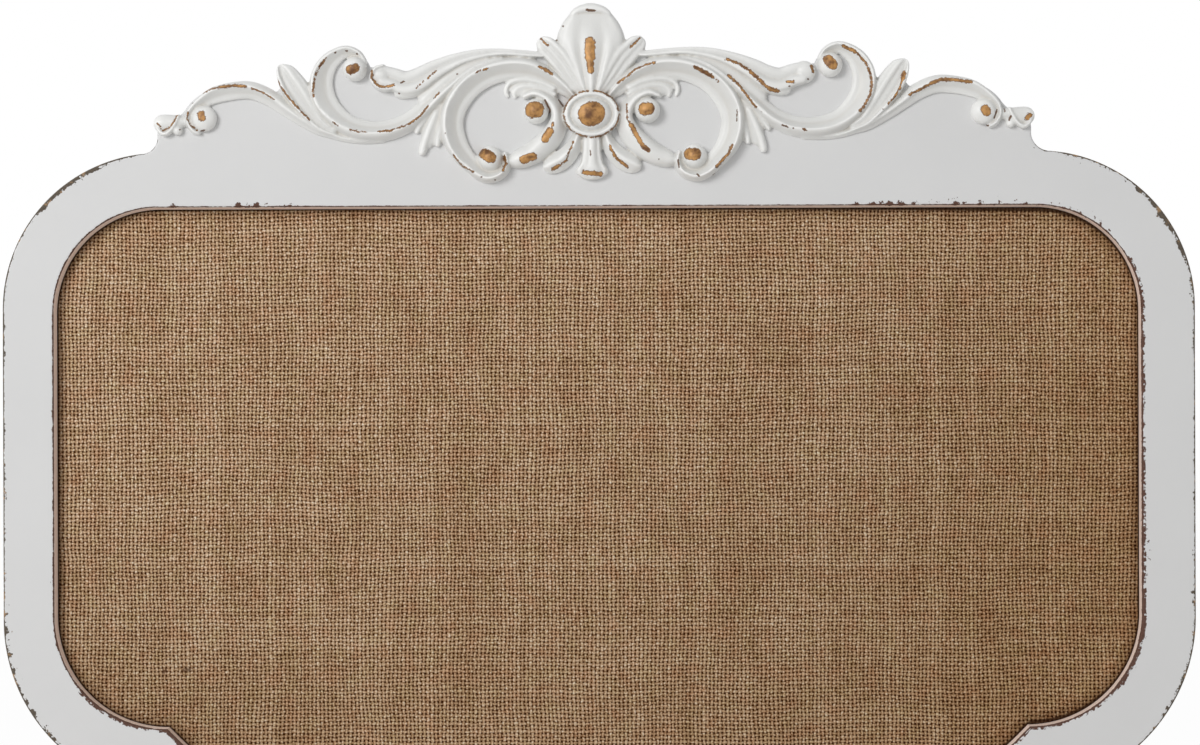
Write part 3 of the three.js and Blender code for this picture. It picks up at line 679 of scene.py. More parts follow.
inner_band_shares = [
    [69, 17.5, 2.5, 0.5, 0.2], [58, 22, 4, 0.6, 0.3], [46, 19, 5.5, 0.64, 0.5], [37, 10.3, 7, 0.67, 0.5],
    [33, -0.7, 8, 0.7, 0.5], [35, -12.5, 10, 0.72, 0.4], [42, -23.8, 11.5, 0.72, 0.3],
    [52, -33, 11.8, 0.71, 0.15], [63.5, -40, 11, 0.66, 0], [75, -44.5, 9.2, 0.58, 0],
    [84, -47.3, 6, 0.46, 0],
]  # fmt: skip
print("stations of the scrolls:", len(end_scroll_shares + big_scroll_shares + middle_scroll_shares))

# %% Strokes of the leaves
end_leaf_shares = [
    [402, -3, 4, 0.28, 0], [416, -3.5, 7, 0.32, 0], [426, -5, 9.5, 0.33, 0], [436, -5, 9, 0.32, 0],
    [440, -5, 6, 0.28, 0],
]  # fmt: skip
end_leaf_rim_shares = [
    [437, -9, 2, 0.34, 0], [430, -15.5, 2.6, 0.42, 0], [422.5, -12, 2.6, 0.44, 0], [417, -3, 2.4, 0.42, 0],
    [414, 4, 1.6, 0.36, 0],
]  # fmt: skip
upright_leaf_shares = [
    [257, -16, 3.5, 0.36, 0], [271, -7.5, 6.5, 0.44, 0], [281.5, 5, 10, 0.51, 0], [291, 19, 13, 0.56, 0],
    [299.5, 32, 13.3, 0.56, 0], [306, 43, 10.8, 0.54, 0], [310, 49.5, 7.6, 0.5, 0],
    [311.5, 53, 4.2, 0.44, 0],
]  # fmt: skip
curl_leaf_shares = [
    [219, 39, 7, 0.46, 0.2], [211.5, 40, 11, 0.54, 0.2], [199, 37, 11.8, 0.56, 0.3],
    [187, 33, 12.5, 0.57, 0.3], [174, 36, 12.5, 0.58, 0.3], [161, 43.5, 11, 0.58, 0.3],
    [147, 50.5, 9, 0.56, 0.3], [132, 56.5, 7, 0.54, 0.2], [114, 61, 5.5, 0.5, 0.1], [95, 63, 4, 0.46, 0],
    [77, 62.5, 3.4, 0.42, 0], [60, 61, 3.4, 0.4, 0], [47, 60, 2.5, 0.38, 0],
]  # fmt: skip
curl_rim_shares = [
    [207, 51, 1.6, 0.5, 0], [215, 48.5, 2.2, 0.56, 0], [220, 42, 2.5, 0.6, 0], [219.5, 35, 2.6, 0.62, 0],
    [214.5, 29.5, 2.7, 0.63, 0], [206.5, 27, 2.7, 0.62, 0], [197, 28, 2, 0.56, 0],
]  # fmt: skip
curl_lobe_shares = [
    [198, 23, 4, 0.38, 0], [187.5, 23.5, 6.2, 0.44, 0], [176, 27, 7.2, 0.47, 0], [162, 34.5, 6.2, 0.47, 0],
    [148, 43, 3.5, 0.42, 0],
]  # fmt: skip
web_shares = [
    [172, 12, 8, 0.34, 0], [157, 25, 9, 0.38, 0], [141, 38, 9, 0.4, 0], [122, 49, 7, 0.4, 0],
    [100, 56, 4, 0.38, 0],
]  # fmt: skip
# The hanging leaf has three strands on a flat ground.
pendant_ground_shares = [
    [152, 15, 8, 0.34, 0], [155, 5, 9.5, 0.3, 0], [160, -10, 10, 0.3, 0], [163.5, -22, 8.5, 0.27, 0],
    [167, -32, 5, 0.22, 0],
]  # fmt: skip
pendant_shares = [
    [155, 6, 4, 0.36, 0], [161, -8, 5, 0.38, 0], [166, -21, 5, 0.37, 0], [169.5, -32, 4.6, 0.35, 0],
    [171, -39.5, 3.4, 0.3, 0],
]  # fmt: skip
pendant_inner_shares = [
    [149, 1, 4, 0.36, 0], [152, -12, 4.2, 0.37, 0], [154.5, -24, 3.8, 0.33, 0], [155.5, -31, 2.6, 0.28, 0],
]  # fmt: skip
pendant_outer_shares = [
    [161, 5, 3, 0.32, 0], [168, -4, 3.4, 0.34, 0], [173.5, -12, 3, 0.31, 0], [177, -17.5, 2.2, 0.26, 0],
]  # fmt: skip
# The feather beside the boss has three fingers, which curl down at their ends.
feather_fingers = [
    [
        [83.5, 17.5, 2, 0.17, 0], [85.8, 24.5, 2.6, 0.23, 0], [82, 32, 3.1, 0.27, 0],
        [70, 35.5, 3.6, 0.32, 0], [52, 33, 4, 0.38, 0], [35, 25, 3.6, 0.44, 0],
    ],
    [
        [76, 16.5, 2, 0.18, 0], [77.5, 22.5, 2.6, 0.24, 0], [72, 28, 3, 0.29, 0],
        [60, 28.8, 3.2, 0.34, 0], [46, 25, 3.2, 0.39, 0], [35, 19, 2.8, 0.44, 0],
    ],
    [
        [68.5, 16.5, 1.8, 0.18, 0], [68.5, 21, 2.4, 0.25, 0], [62, 23.5, 2.8, 0.3, 0],
        [50, 21.5, 2.8, 0.36, 0], [39, 16.5, 2.4, 0.42, 0],
    ],
]  # fmt: skip
petal_shares = [
    [12, -15, 4, 0.52, 0], [17.5, -30, 7.5, 0.6, 0], [24, -39.5, 9.2, 0.62, 0.1], [32, -46, 10, 0.6, 0.1],
    [41, -50.3, 9, 0.54, 0.1], [49, -52.6, 6, 0.44, 0],
]  # fmt: skip
feather_web_shares = [
    [81, 23, 5, 0.19, 0], [70, 26.5, 8.5, 0.25, 0], [55, 26, 9, 0.31, 0], [40, 20, 7, 0.38, 0],
]  # fmt: skip
palmette_lobe_shares = [
    [10, 22, 5, 0.6, 0], [21, 39, 9, 0.62, 0], [31, 54.3, 11, 0.58, 0], [41, 65.4, 10.5, 0.5, 0],
    [48, 72, 9, 0.44, 0], [52, 76, 6.5, 0.38, 0],
]  # fmt: skip
print("stations of the upright leaf:", len(upright_leaf_shares))

# %% Strokes of the middle
# The last number of a station of the palmette is how deep its flutes are there.
palmette_shares = [
    [0, 18, 12, 0.68, 1], [0, 32, 17, 0.71, 1], [0, 46, 24, 0.7, 1], [0, 60, 31, 0.67, 0.85],
    [0, 74, 34, 0.62, 0.5], [0, 88, 30.5, 0.55, 0.18], [0, 99, 24.5, 0.49, 0], [0, 107, 16.5, 0.43, 0],
    [0, 111.5, 8, 0.36, 0],
]  # fmt: skip
palmette_lip_shares = [
    [-20, 98, 3, 0.42, 0], [-12, 103.5, 5, 0.45, 0], [0, 105.5, 6, 0.46, 0], [12, 103.5, 5, 0.45, 0],
    [20, 98, 3, 0.42, 0],
]  # fmt: skip
bell_shares = [
    [0, -18, 9, 0.62, 0], [0, -36, 9.5, 0.66, 0], [0, -49, 12, 0.66, 0], [0, -55.5, 17.5, 0.62, 0],
    [0, -60.5, 18, 0.54, 0], [0, -65, 12, 0.44, 0],
]  # fmt: skip
# Rows of turned forms: [out, up, half width, half height, height share].
ball_shares = [
    [389.5, -0.5, 13, 13, 0.55], [237.3, 47.5, 12.2, 12.2, 0.74], [55.5, 3.7, 12.7, 12.7, 0.84],
    [102, -42.6, 12.2, 12.2, 0.82], [416, -12, 5, 5, 0.4], [211.5, 40.5, 11.3, 11.3, 0.54],
]  # fmt: skip
boss_shares = [0, 0, 28.5, 23.5, 1]
print("balls on each side:", len(ball_shares))


# %% Sections of a stroke, as rise over its share across
def moulded(across, ridge):
    """A scroll's section: a soft lip, a hollow that climbs to the ridge, and a round outer side."""
    inner = np.clip((across + 1) / (ridge + 1), 0, 1)
    outer = np.clip((across - ridge) / (1 - ridge), 0, 1)
    lip = 0.09 * np.exp(-(((across + 0.7) / 0.2) ** 2))
    climb = 0.3 + 0.7 * inner**1.6 + lip
    return np.where(across < ridge, climb, 1 - 0.84 * outer**1.7)


def rounded(across, ridge):
    return 0.12 + 0.88 * np.sqrt(np.clip(1 - (across - ridge * (1 - across**2)) ** 2, 0, 1))


def ridged(across, ridge):
    return 1 - 0.72 * (np.abs(across - ridge) / (1 + abs(ridge))) ** 1.2


def bump_at(across, place, width):
    return np.exp(-(((np.abs(across) - place) / width) ** 2))


def shell(across, flutes):
    """The palmette: a bowl with raised sides, and a middle rib with flutes beside it."""
    bowl = 0.83 + 0.07 * np.abs(across) ** 3
    ribs = 0.22 * bump_at(across, 0, 0.22) + 0.09 * bump_at(across, 0.56, 0.14)
    grooves = 0.08 * bump_at(across, 0.35, 0.11) + 0.1 * bump_at(across, 0.76, 0.09)
    side = np.sqrt(np.clip(1 - np.abs(across), 0, 1) / 0.22)
    return (bowl + flutes * (ribs - grooves)) * np.clip(0.25 + 0.75 * side, 0, 1)


def lobed(lobes):
    """A section of lobes, each [middle, half width, height] in shares, with creases between them."""

    def section(across, ridge):
        rise = np.full(across.shape, 0.2)
        for middle, half, height in lobes:
            bulge = np.clip(1 - ((across - middle) / half) ** 2, 0, 1) ** 0.6
            rise = np.maximum(rise, height * (0.64 + 0.36 * bulge) * (bulge > 0))
        return rise * (0.35 + 0.65 * np.sqrt(np.clip((1 - np.abs(across)) / 0.16, 0, 1)))

    return section


curl_leaf_form = lobed([[0.5, 0.5, 1], [-0.42, 0.58, 0.84]])
upright_leaf_form = lobed([[-0.76, 0.24, 1], [-0.2, 0.44, 0.74], [0.38, 0.34, 0.86], [0.82, 0.26, 0.7]])
side_lobe_form = lobed([[0.62, 0.42, 1], [-0.02, 0.36, 0.86], [-0.62, 0.38, 0.74]])
bell_form = lobed([[0, 0.6, 1], [-0.72, 0.32, 0.82], [0.72, 0.32, 0.82]])


# %% Skin of a stroke
section_shares = np.linspace(-1, 1, 25)
steps_between = 6
sunk = 0.4 * mm  # how far the ornament's back goes into the board, so that no gap shows under it
ornament_points, ornament_faces = [], []


def add_solid(rings):
    """A closed solid through alike rings of points."""
    first = len(ornament_points)
    count = len(rings[0])
    for ring in rings:
        ornament_points.extend(ring)
    ornament_faces.extend(skin(rings, first))
    ornament_faces.append(tuple(range(first, first + count))[::-1])
    last = first + (len(rings) - 1) * count
    ornament_faces.append(tuple(range(last, last + count)))


def add_stroke(side, stations, section):
    """A band along its stations. Its half width is drawn in at both ends, which makes them round."""
    row = smooth_row(stations, steps_between)
    run = np.concatenate([[0], np.cumsum(np.hypot(*np.diff(row[:, :2], axis=0).T))])
    ahead = np.gradient(row[:, :2], axis=0)
    ahead /= np.linalg.norm(ahead, axis=1)[:, None]
    to_end = np.minimum(run, run[-1] - run) / np.maximum(row[:, 2], 1)
    ease = np.sqrt(np.clip(1 - (1 - np.clip(to_end, 0, 1)) ** 2, 0.05, 1))
    rings = []
    for (out, up, half, height, ridge), (ahead_out, ahead_up), eased in zip(row, ahead, ease):
        across = section_shares * half * (0.35 + 0.65 * eased)
        place = crest_place(side, out - ahead_up * across, up + ahead_out * across)
        rise = section(section_shares, ridge) * height * (0.7 + 0.3 * eased)
        ring = ring_at(place, 0 * place, 0, face_y - rise * crest_relief)
        foot = ring[[-1, 0]] * [1, 0, 1] + [0, face_y + sunk, 0]
        rings.append(np.vstack([ring, foot]))
    add_solid(rings)


def add_knob(side, form, profile):
    """A turned form, from rows of [radius share, rise share]."""
    out, up, half_width, half_height, height = form
    angles = np.linspace(0, 2 * math.pi, 48, endpoint=False)
    rings = []
    for radius, rise in [(profile[0][0], None), *profile]:
        place = crest_place(
            side, out + radius * half_width * np.cos(angles), up + radius * half_height * np.sin(angles)
        )
        y = face_y + sunk if rise is None else face_y - rise * height * crest_relief
        rings.append(ring_at(place, 0 * place, 0, y))
    add_solid(rings)


# %% Model the ornament
turns = np.linspace(0, quarter * 0.98, 12)
ball_profile = [(math.cos(turn), 0.3 + 0.7 * math.sin(turn)) for turn in turns]
boss_profile = [
    (1, 0.3), (0.985, 0.52), (0.95, 0.64), (0.9, 0.7), (0.85, 0.71), (0.8, 0.67), (0.755, 0.58),
    (0.72, 0.52), (0.69, 0.55), (0.66, 0.64), (0.6, 0.75), (0.52, 0.84), (0.4, 0.92), (0.25, 0.98),
    (0.05, 1),
]  # fmt: skip
for side in (1, -1):
    for stations in (end_scroll_shares, big_scroll_shares, middle_scroll_shares):
        add_stroke(side, stations, moulded)
    for stations in (
        end_leaf_shares, end_leaf_rim_shares, curl_lobe_shares, web_shares, pendant_ground_shares,
        pendant_shares, pendant_inner_shares, pendant_outer_shares, inner_band_shares,
        feather_web_shares, *feather_fingers,
    ):  # fmt: skip
        add_stroke(side, stations, rounded)
    add_stroke(side, upright_leaf_shares, upright_leaf_form)
    add_stroke(side, curl_leaf_shares, curl_leaf_form)
    add_stroke(side, palmette_lobe_shares, side_lobe_form)
    add_stroke(side, petal_shares, ridged)
    for ball in ball_shares:
        add_knob(side, ball, ball_profile)
add_stroke(-1, curl_rim_shares, rounded)
add_stroke(1, palmette_shares, shell)
add_stroke(1, palmette_lip_shares, rounded)
add_stroke(1, bell_shares, bell_form)
add_knob(1, boss_shares, boss_profile)

ornament = new_piece("cast_ornament", ornament_points, ornament_faces)
face_outwards(ornament)
voxel = 0.58 * mm
finish_with(ornament, "REMESH", mode="VOXEL", voxel_size=voxel)
finish_with(ornament, "SMOOTH", factor=0.5, iterations=7)
print("ornament:", triangles_of(ornament), "triangles before it is thinned")

# %% Thin and shade the ornament
triangle_limit = 190000
finish_with(ornament, "DECIMATE", ratio=min(1, triangle_limit / triangles_of(ornament)))
ornament.data.shade_smooth()
print("ornament:", triangles_of(ornament), "triangles")

# %% [markdown]
# ## Where the ornament's paint is rubbed
# The maker rubbed the white paint through to gilding and brown primer on the ridges and on the tops of
# the balls. Each rub is a line here, traced in the photograph's pixels, with half its width. Every
# vertex keeps its distance to the nearest line, and the paint's material cuts that distance off with a
# little noise, which gives the ragged border of a real rub.

# %% Rubs that show gold
# Rows are half a width and then the column and row of each corner of the line, in pixels.
gold_rubs = [
    [1, 203, 93, 211, 89, 220, 87], [1.7, 220, 87, 235, 85.5, 246, 86.5],
    [1, 252, 88.5, 262, 92, 274, 99.5], [1, 188, 112, 187, 118, 190, 125, 197, 130],
    [4.2, 201, 114.5, 202, 117.5], [0.9, 157, 123, 163, 131, 170, 127, 175, 120, 178, 112],
    [1.1, 277, 80, 283, 90, 290, 99, 300, 110, 309, 119.5],
    [1.2, 326, 58, 320, 66, 315, 76, 313, 90, 313.5, 97], [0.9, 333, 122, 338, 125.5],
    [0.9, 350, 129.5, 360, 132, 367, 132],
    [1.1, 378, 131.5, 390, 130.5, 400, 127.5, 410, 123.5, 420, 116, 428, 106], [0.8, 434, 98, 439, 92.5],
    [5, 350.5, 70, 355, 68], [1.4, 372, 71, 372, 78, 376, 84, 382, 87, 390, 86, 394, 85],
    [0.9, 416, 88, 424, 81], [0.9, 428, 78, 436, 71], [0.9, 475, 73, 481, 70], [1.1, 483, 70, 488, 68.5],
    [0.9, 453, 155, 462, 166, 474, 172], [1.8, 540, 67, 548, 71, 552, 74], [5.8, 484.5, 154, 490.5, 157.5],
    [1.6, 504, 156, 506, 163, 503, 170], [8.4, 533, 110, 536, 109.5], [1.4, 553, 123, 551, 130],
    [4.2, 550, 131, 545, 139], [4.4, 523, 159.5, 533, 156.5], [12.2, 590, 114.5, 593, 113],
    [5.4, 590, 42, 590, 57], [3.8, 590, 58, 590.5, 70], [1.2, 541, 39, 548, 46], [1.3, 640, 38, 631, 47],
    [0.9, 573.3, 141.6, 568.4, 153.7, 566.6, 161], [1.3, 566, 161, 559, 165.5], [2, 559, 165.5, 553, 169],
    [1.7, 610.2, 146.5, 615.6, 157.4, 627.7, 167], [2.6, 584, 172.5, 601, 174],
    [1, 627, 104, 627, 118, 631, 126], [2.6, 631, 125, 637, 136, 643, 146, 648, 150],
    [6.8, 645, 109, 648, 108.5], [1.2, 618, 83, 626, 77, 636, 69, 645, 65, 656, 62],
    [2.2, 695, 67, 703, 71, 712, 76.5], [0.9, 716, 79, 718, 82], [1.5, 732, 145, 728, 154, 716, 167],
    [6.4, 690, 154, 695, 154], [1.4, 728, 75, 740, 86, 748, 97, 756, 107], [1.4, 727, 59, 740, 64, 750, 71],
    [2, 750, 71, 760, 80, 764, 84, 770, 89, 778, 91], [1.5, 811.5, 66, 813, 72], [1.6, 787, 81.5, 794, 82],
    [2, 843, 46, 850, 49, 855, 52], [1.4, 858, 54, 866, 63, 870, 73, 872, 84, 870, 95, 864, 106, 860, 111],
    [5.4, 828.5, 60, 832.5, 64.5], [2.6, 904, 73, 903, 78], [1.3, 904, 75, 900, 88, 895, 96, 888, 104],
    [1.5, 909, 95, 919, 90, 930, 84], [2, 930, 84, 940, 79.5, 955, 79.5, 971, 82],
    [4.8, 985, 109, 987, 112], [2.8, 1027, 118, 1030, 115], [1.6, 804, 129.5, 806, 130.5],
]  # fmt: skip
print("gold rubs:", len(gold_rubs))

# %% Nicks that show brown
brown_nicks = [
    [1, 192, 103, 192.5, 103], [0.8, 201, 131, 205, 130], [1, 179.7, 129.6, 180, 129.6],
    [1.1, 334.5, 53, 336, 52.5], [0.9, 346, 51, 347, 51], [1, 357, 54, 357.5, 54.5],
    [0.9, 399, 93.5, 399.5, 94], [0.9, 401, 83, 404, 81.5], [0.9, 457, 74, 457.5, 74],
    [0.7, 445, 133, 445.3, 133.5], [1, 545, 100, 550, 110, 549, 118, 543, 126], [1, 559, 100, 563, 106],
    [1.3, 586, 10, 595, 10.5], [0.8, 556, 40, 557, 40], [0.9, 562.5, 26, 563.5, 26.5],
    [0.9, 590, 150, 591, 156], [0.9, 678, 160, 679, 167], [0.8, 737, 110, 737, 121],
    [0.9, 782, 125, 788, 127], [0.8, 793, 128, 793.5, 128.5], [0.9, 761, 112, 761.4, 112],
    [0.8, 789, 86, 790, 86], [0.8, 808, 79, 808.5, 79.5], [0.8, 883, 109, 884, 109],
    [1, 984, 126, 988, 125.5], [0.9, 994, 118, 997, 110], [0.8, 1004, 105, 1005, 112],
    [1, 1009, 120, 1011, 116], [1, 697, 174, 699, 176], [0.7, 713, 175, 717, 173],
    [0.8, 481, 177, 481.4, 177], [0.8, 495, 180, 495.4, 180], [0.8, 658.5, 159, 659, 159],
    [0.9, 841, 87, 842, 86], [0.7, 725, 60, 725.4, 60],
]  # fmt: skip

# The oval ring of the boss is rubbed nearly all round: rows of angles in degrees.
boss_middle, boss_radii = np.array([591.4, 113.8]), np.array([27.6, 23.3])
boss_ring_rubs = [[100, 122], [128, 176], [184, 236], [244, 262], [274, 352], [2, 44], [52, 92]]
for start, end in boss_ring_rubs:
    turns = np.radians(np.linspace(start, end, 8))
    corners = boss_middle + boss_radii * np.stack([np.cos(turns), np.sin(turns)], 1)
    gold_rubs.append([1, *corners.ravel()])
print("brown nicks:", len(brown_nicks))


# %% Distance of each vertex to the rubs
far_off = 50.0


def distance_to(places, rubs):
    """How far each place of the photograph is outside the nearest rub, in pixels."""
    nearest = np.full(len(places), far_off)
    for half_width, *corners in rubs:
        corners = np.reshape(corners, (-1, 2))
        for start, end in zip(corners, corners[1:]):
            run = end - start
            share = np.clip((places - start) @ run / (run @ run), 0, 1)
            away = np.linalg.norm(places - start - share[:, None] * run, axis=1)
            nearest = np.minimum(nearest, away - half_width)
    return nearest


def hollowness(body, rounds):
    """How far each vertex lies below the average of its neighbours, after some rounds of averaging."""
    points, normals = points_of(body), np.array([v.normal for v in body.data.vertices])
    ends = np.array([edge.vertices for edge in body.data.edges])
    met = np.bincount(ends.ravel(), minlength=len(points))[:, None]
    mean = points.copy()
    for _ in range(rounds):
        total = np.zeros_like(mean)
        np.add.at(total, ends[:, 0], mean[ends[:, 1]])
        np.add.at(total, ends[:, 1], mean[ends[:, 0]])
        mean = total / np.maximum(met, 1)
    return ((mean - points) * normals).sum(1)


hollow = hollowness(ornament, 24)
set_attribute(ornament, "hollow", hollow)
print("hollows:", np.percentile(hollow / mm, [2, 25, 50, 75, 98]).round(2), "mm")
ornament_places = in_photograph(points_of(ornament))
set_attribute(ornament, "to_gold", distance_to(ornament_places, gold_rubs))
set_attribute(ornament, "to_brown", distance_to(ornament_places, brown_nicks))
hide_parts("crest_casting")
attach(ornament, "board")
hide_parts("frame_board")
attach(board, "board")
print("pieces on the board:", board.name, ornament.name)

# %% [markdown]
# ## Sums on surfaces
# A material's nodes are sums over the surface. The small class below wraps a node's output, so that
# Python's own operators add the Math nodes, and each finish reads like a formula.


# %% Values and finishes
class Value:
    """A number, colour or vector that varies over a surface."""

    def __init__(self, finish, socket):
        self.finish = finish
        self.socket = socket

    def __add__(self, other):
        return self.finish.maths("ADD", self, other)

    def __sub__(self, other):
        return self.finish.maths("SUBTRACT", self, other)

    def __rsub__(self, other):
        return self.finish.maths("SUBTRACT", other, self)

    def __mul__(self, other):
        return self.finish.maths("MULTIPLY", self, other)

    def __truediv__(self, other):
        return self.finish.maths("DIVIDE", self, other)

    __radd__ = __add__
    __rmul__ = __mul__


class Finish:
    """A tree of nodes, and the ways to add to it."""

    def __init__(self, tree):
        self.tree = tree

    def add(self, kind, settings=None, sockets=None, output=0):
        """Adds a node: first its settings, then the values or links of its sockets."""
        node = self.tree.nodes.new("ShaderNode" + kind)
        for name, value in (settings or {}).items():
            if name == "stops":
                self.set_stops(node.color_ramp, value)
            else:
                setattr(node, name, value)
        for name, value in (sockets or {}).items():
            self.set_socket(node.inputs[name], value)
        return Value(self, node.outputs[output]) if node.outputs else None

    def set_stops(self, ramp, stops):
        while len(ramp.elements) < len(stops):
            ramp.elements.new(0.5)
        for element, (place, colour) in zip(ramp.elements, stops):
            element.position = place
            element.color = colour

    def set_socket(self, socket, value):
        if isinstance(value, Value):
            self.tree.links.new(value.socket, socket)
        else:
            socket.default_value = value

    def maths(self, operation, *values):
        return self.add("Math", {"operation": operation}, dict(enumerate(values)))

    def noise(self, size, detail=2, place=None, roughness=0.5, distortion=0):
        """Noise from about 0 to 1, with lumps of about this size in metres."""
        place = self.place if place is None else place
        sockets = {"Scale": 1 / size, "Detail": detail, "Roughness": roughness, "Distortion": distortion}
        return self.add("TexNoise", None, {"Vector": place, **sockets})

    def rise(self, value, low, high):
        """0 below low and 1 above high, with a soft step between."""
        sockets = {"Value": value, "From Min": low, "From Max": high}
        return self.add("MapRange", {"interpolation_type": "SMOOTHSTEP"}, sockets)

    def mix(self, share, first, second, way="MIX"):
        """The second colour over the first, by share."""
        settings = {"data_type": "RGBA", "blend_type": way}
        return self.add("Mix", settings, {0: share, 6: first, 7: second}, 2)

    def attribute(self, name):
        return self.add("Attribute", {"attribute_name": name}, output="Fac")

    def bump(self, height, depth, strength):
        return self.add("Bump", None, {"Height": height, "Distance": depth, "Strength": strength})

    def parts(self, value, wanted=(0, 1), kind="SeparateXYZ"):
        """The wanted parts of a vector or a colour."""
        return [self.add(kind, None, {0: value}, part) for part in wanted]


def new_finish(name, **shader):
    """A material whose shader has these settings all over."""
    material = bpy.data.materials.new(name)
    material.use_nodes = True
    finish = Finish(material.node_tree)
    finish.material = material
    finish.shader = material.node_tree.nodes["Principled BSDF"]
    finish.place = finish.add("TexCoord", output="Object")
    for name, value in shader.items():
        finish.shader.inputs[name.replace("_", " ")].default_value = value
    return finish


def set_look(finish, **looks):
    for name, value in looks.items():
        finish.set_socket(finish.shader.inputs[name.replace("_", " ")], value)
    print(finish.material.name, "has", len(finish.tree.nodes), "nodes")


def colour(red, green, blue):
    """A colour as a shader wants it, from the 0 to 255 of a picture."""

    def linear(level):
        share = level / 255
        return share / 12.92 if share <= 0.04045 else ((share + 0.055) / 1.055) ** 2.4

    return (linear(red), linear(green), linear(blue), 1)


def give(piece, finish):
    piece.data.materials.clear()
    piece.data.materials.append(finish.material)


def smooth_and_give(piece, finish, degrees=35):
    smooth(piece, degrees)
    give(piece, finish)
    print(piece.name, "has", triangles_of(piece), "triangles")


# %% [markdown]
# ## Paint of the board
# The board has white furniture paint, sanded through along its edges. At the opening the sanding shows
# brown wood, and on the outside a greyer wood. The paint stops where the distance from the edge is less
# than the reach of the sanding, give or take a little noise, and its thickness shows as a small step. The
# back has one thin coat, through which the grain of the wood shows.

# %% Board paint
paint = new_finish("board_paint", Roughness=0.5)
from_edge = paint.attribute("from_edge")
on_wall = paint.attribute("on_wall")
teeth = paint.noise(1.5 * mm, 4, roughness=0.65) - 0.5
lumps = paint.noise(4.5 * mm, 2) - 0.5
depth = paint.attribute("sanded") * (1 + teeth * 2.6 + lumps * 1.8) - from_edge
worn = paint.rise(depth, -0.03 * mm, 0.06 * mm)
chip_places = paint.attribute("chipped")
chips = paint.noise(2.4 * mm, 3, roughness=0.6) + chip_places * 0.12 - from_edge * (0.045 / mm)
beside_edge = 1 - paint.rise(from_edge, 3.2 * mm, 4.6 * mm)
chipped = paint.rise(chips, 0.665, 0.68) * paint.rise(chip_places, 0.05, 0.2) * beside_edge
bare = paint.maths("MAXIMUM", worn, chipped)
# The back of the opening's wall is painted dark brown as shade where it meets the cloth.
painted_rim_shade = paint.rise(from_edge, 7.4 * mm, 8.6 * mm) * on_wall
cloudy = paint.noise(60 * mm, 3)
brushed = paint.noise(9 * mm, 4)
white = paint.mix(cloudy, colour(221, 221, 221), colour(214, 214, 214))
white = paint.mix(brushed * 0.2, white, colour(225, 225, 224))
# The opening's wall is painted lighter and pinker, as painted light and a painted reflection of the cloth.
white = paint.mix(on_wall, white, colour(255, 234, 222))
(at_depth,) = paint.parts(paint.place, [1])
on_back = paint.rise(at_depth, back_y - 1.2 * mm, back_y - 0.7 * mm)
along_grain = paint.add("Mapping", None, {"Vector": paint.place, "Scale": (0.06, 1, 1)})
thin_coat = paint.rise(paint.noise(2.6 * mm, 5, along_grain, 0.65), 0.44, 0.74)
white = paint.mix(on_back * thin_coat * 0.7, white, colour(164, 140, 112))
grain = paint.noise(0.9 * mm, 3)
streaks = paint.noise(5 * mm, 2)
brown_wood = paint.mix(grain, colour(112, 76, 60), colour(42, 24, 19))
grey_wood = paint.mix(grain, colour(112, 100, 86), colour(52, 46, 38))
grey_wood = paint.mix(paint.rise(streaks, 0.56, 0.68), grey_wood, colour(158, 128, 96))
wood = paint.mix(paint.attribute("at_opening"), grey_wood, brown_wood)
look = paint.mix(bare, white, wood)
look = paint.mix(painted_rim_shade, look, colour(52, 30, 18))
height = brushed * 0.2 + paint.noise(1.2 * mm, 2) * 0.1 - bare
set_look(
    paint,
    Base_Color=look,
    Roughness=0.46 + bare * 0.3 + cloudy * 0.06,
    Normal=paint.bump(height, 0.12 * mm, 0.8),
)
give(board, paint)

# %% [markdown]
# ## Paint of the ornament
# The casting was gilded over a brown primer, and painted white over that. A rub goes through the white
# to the gold, and its border is the brown primer. A nick shows only the primer.

# %% Ornament paint
cream = new_finish("ornament_paint", Roughness=0.42)
ragged = (cream.noise(1.8 * mm, 4, roughness=0.7) - 0.5) * 5.0 + (cream.noise(0.6 * mm, 1) - 0.5) * 1.6
to_gold = cream.attribute("to_gold") + ragged + 0.3
to_brown = cream.attribute("to_brown") + ragged * 0.5
rubbed = 1 - cream.rise(to_gold, 0.0, 0.3)
gilded = 1 - cream.rise(to_gold, -0.85, -0.4)
nicked = 1 - cream.rise(to_brown, -0.25, 0.15)
tone = cream.noise(18 * mm, 3)
pale = cream.mix(tone, colour(230, 230, 228), colour(220, 220, 217))
hollow = cream.attribute("hollow")
# Raised parts are painted whiter as a painted highlight, and hollows darker and warmer as painted shade and
# a warm glaze.
pale = cream.mix(0.9 - cream.rise(hollow, -1.0 * mm, 0.1 * mm) * 0.9, pale, colour(252, 252, 250))
pale = cream.mix(cream.rise(hollow, 0.05 * mm, 0.9 * mm) * 0.65, pale, colour(198, 192, 182))
primer = cream.mix(cream.noise(1.1 * mm, 2), colour(158, 116, 76), colour(72, 44, 24))
patina = cream.rise(cream.noise(6 * mm, 5, roughness=0.6), 0.38, 0.68)
gold = cream.mix(patina, colour(196, 146, 86), colour(98, 61, 28))
look = cream.mix(nicked, pale, colour(104, 76, 56))
look = cream.mix(rubbed, look, primer)
look = cream.mix(gilded, look, gold)
height = cream.noise(2.5 * mm, 3) * 0.5 + cream.noise(0.8 * mm, 2) * 0.25 - rubbed * 0.9 - nicked * 0.7
set_look(
    cream,
    Base_Color=look,
    Metallic=gilded * 0.2,
    Roughness=0.42 + rubbed * 0.15 - gilded * 0.08,
    Normal=cream.bump(height, 0.14 * mm, 0.8),
)
give(ornament, cream)

# %% [markdown]
# ## The burlap
# The panel is wrapped in burlap as a drawing board is in paper: flat over the cork, round the edge and
# turned over onto the back. The cloth is drawn as rings that follow the opening's outline, which keeps
# its flat place as a UV map in metres, so the threads run straight across the front and over the edge.
# At the rounded corners the hem has more cloth than room, so it stands in small pleats.

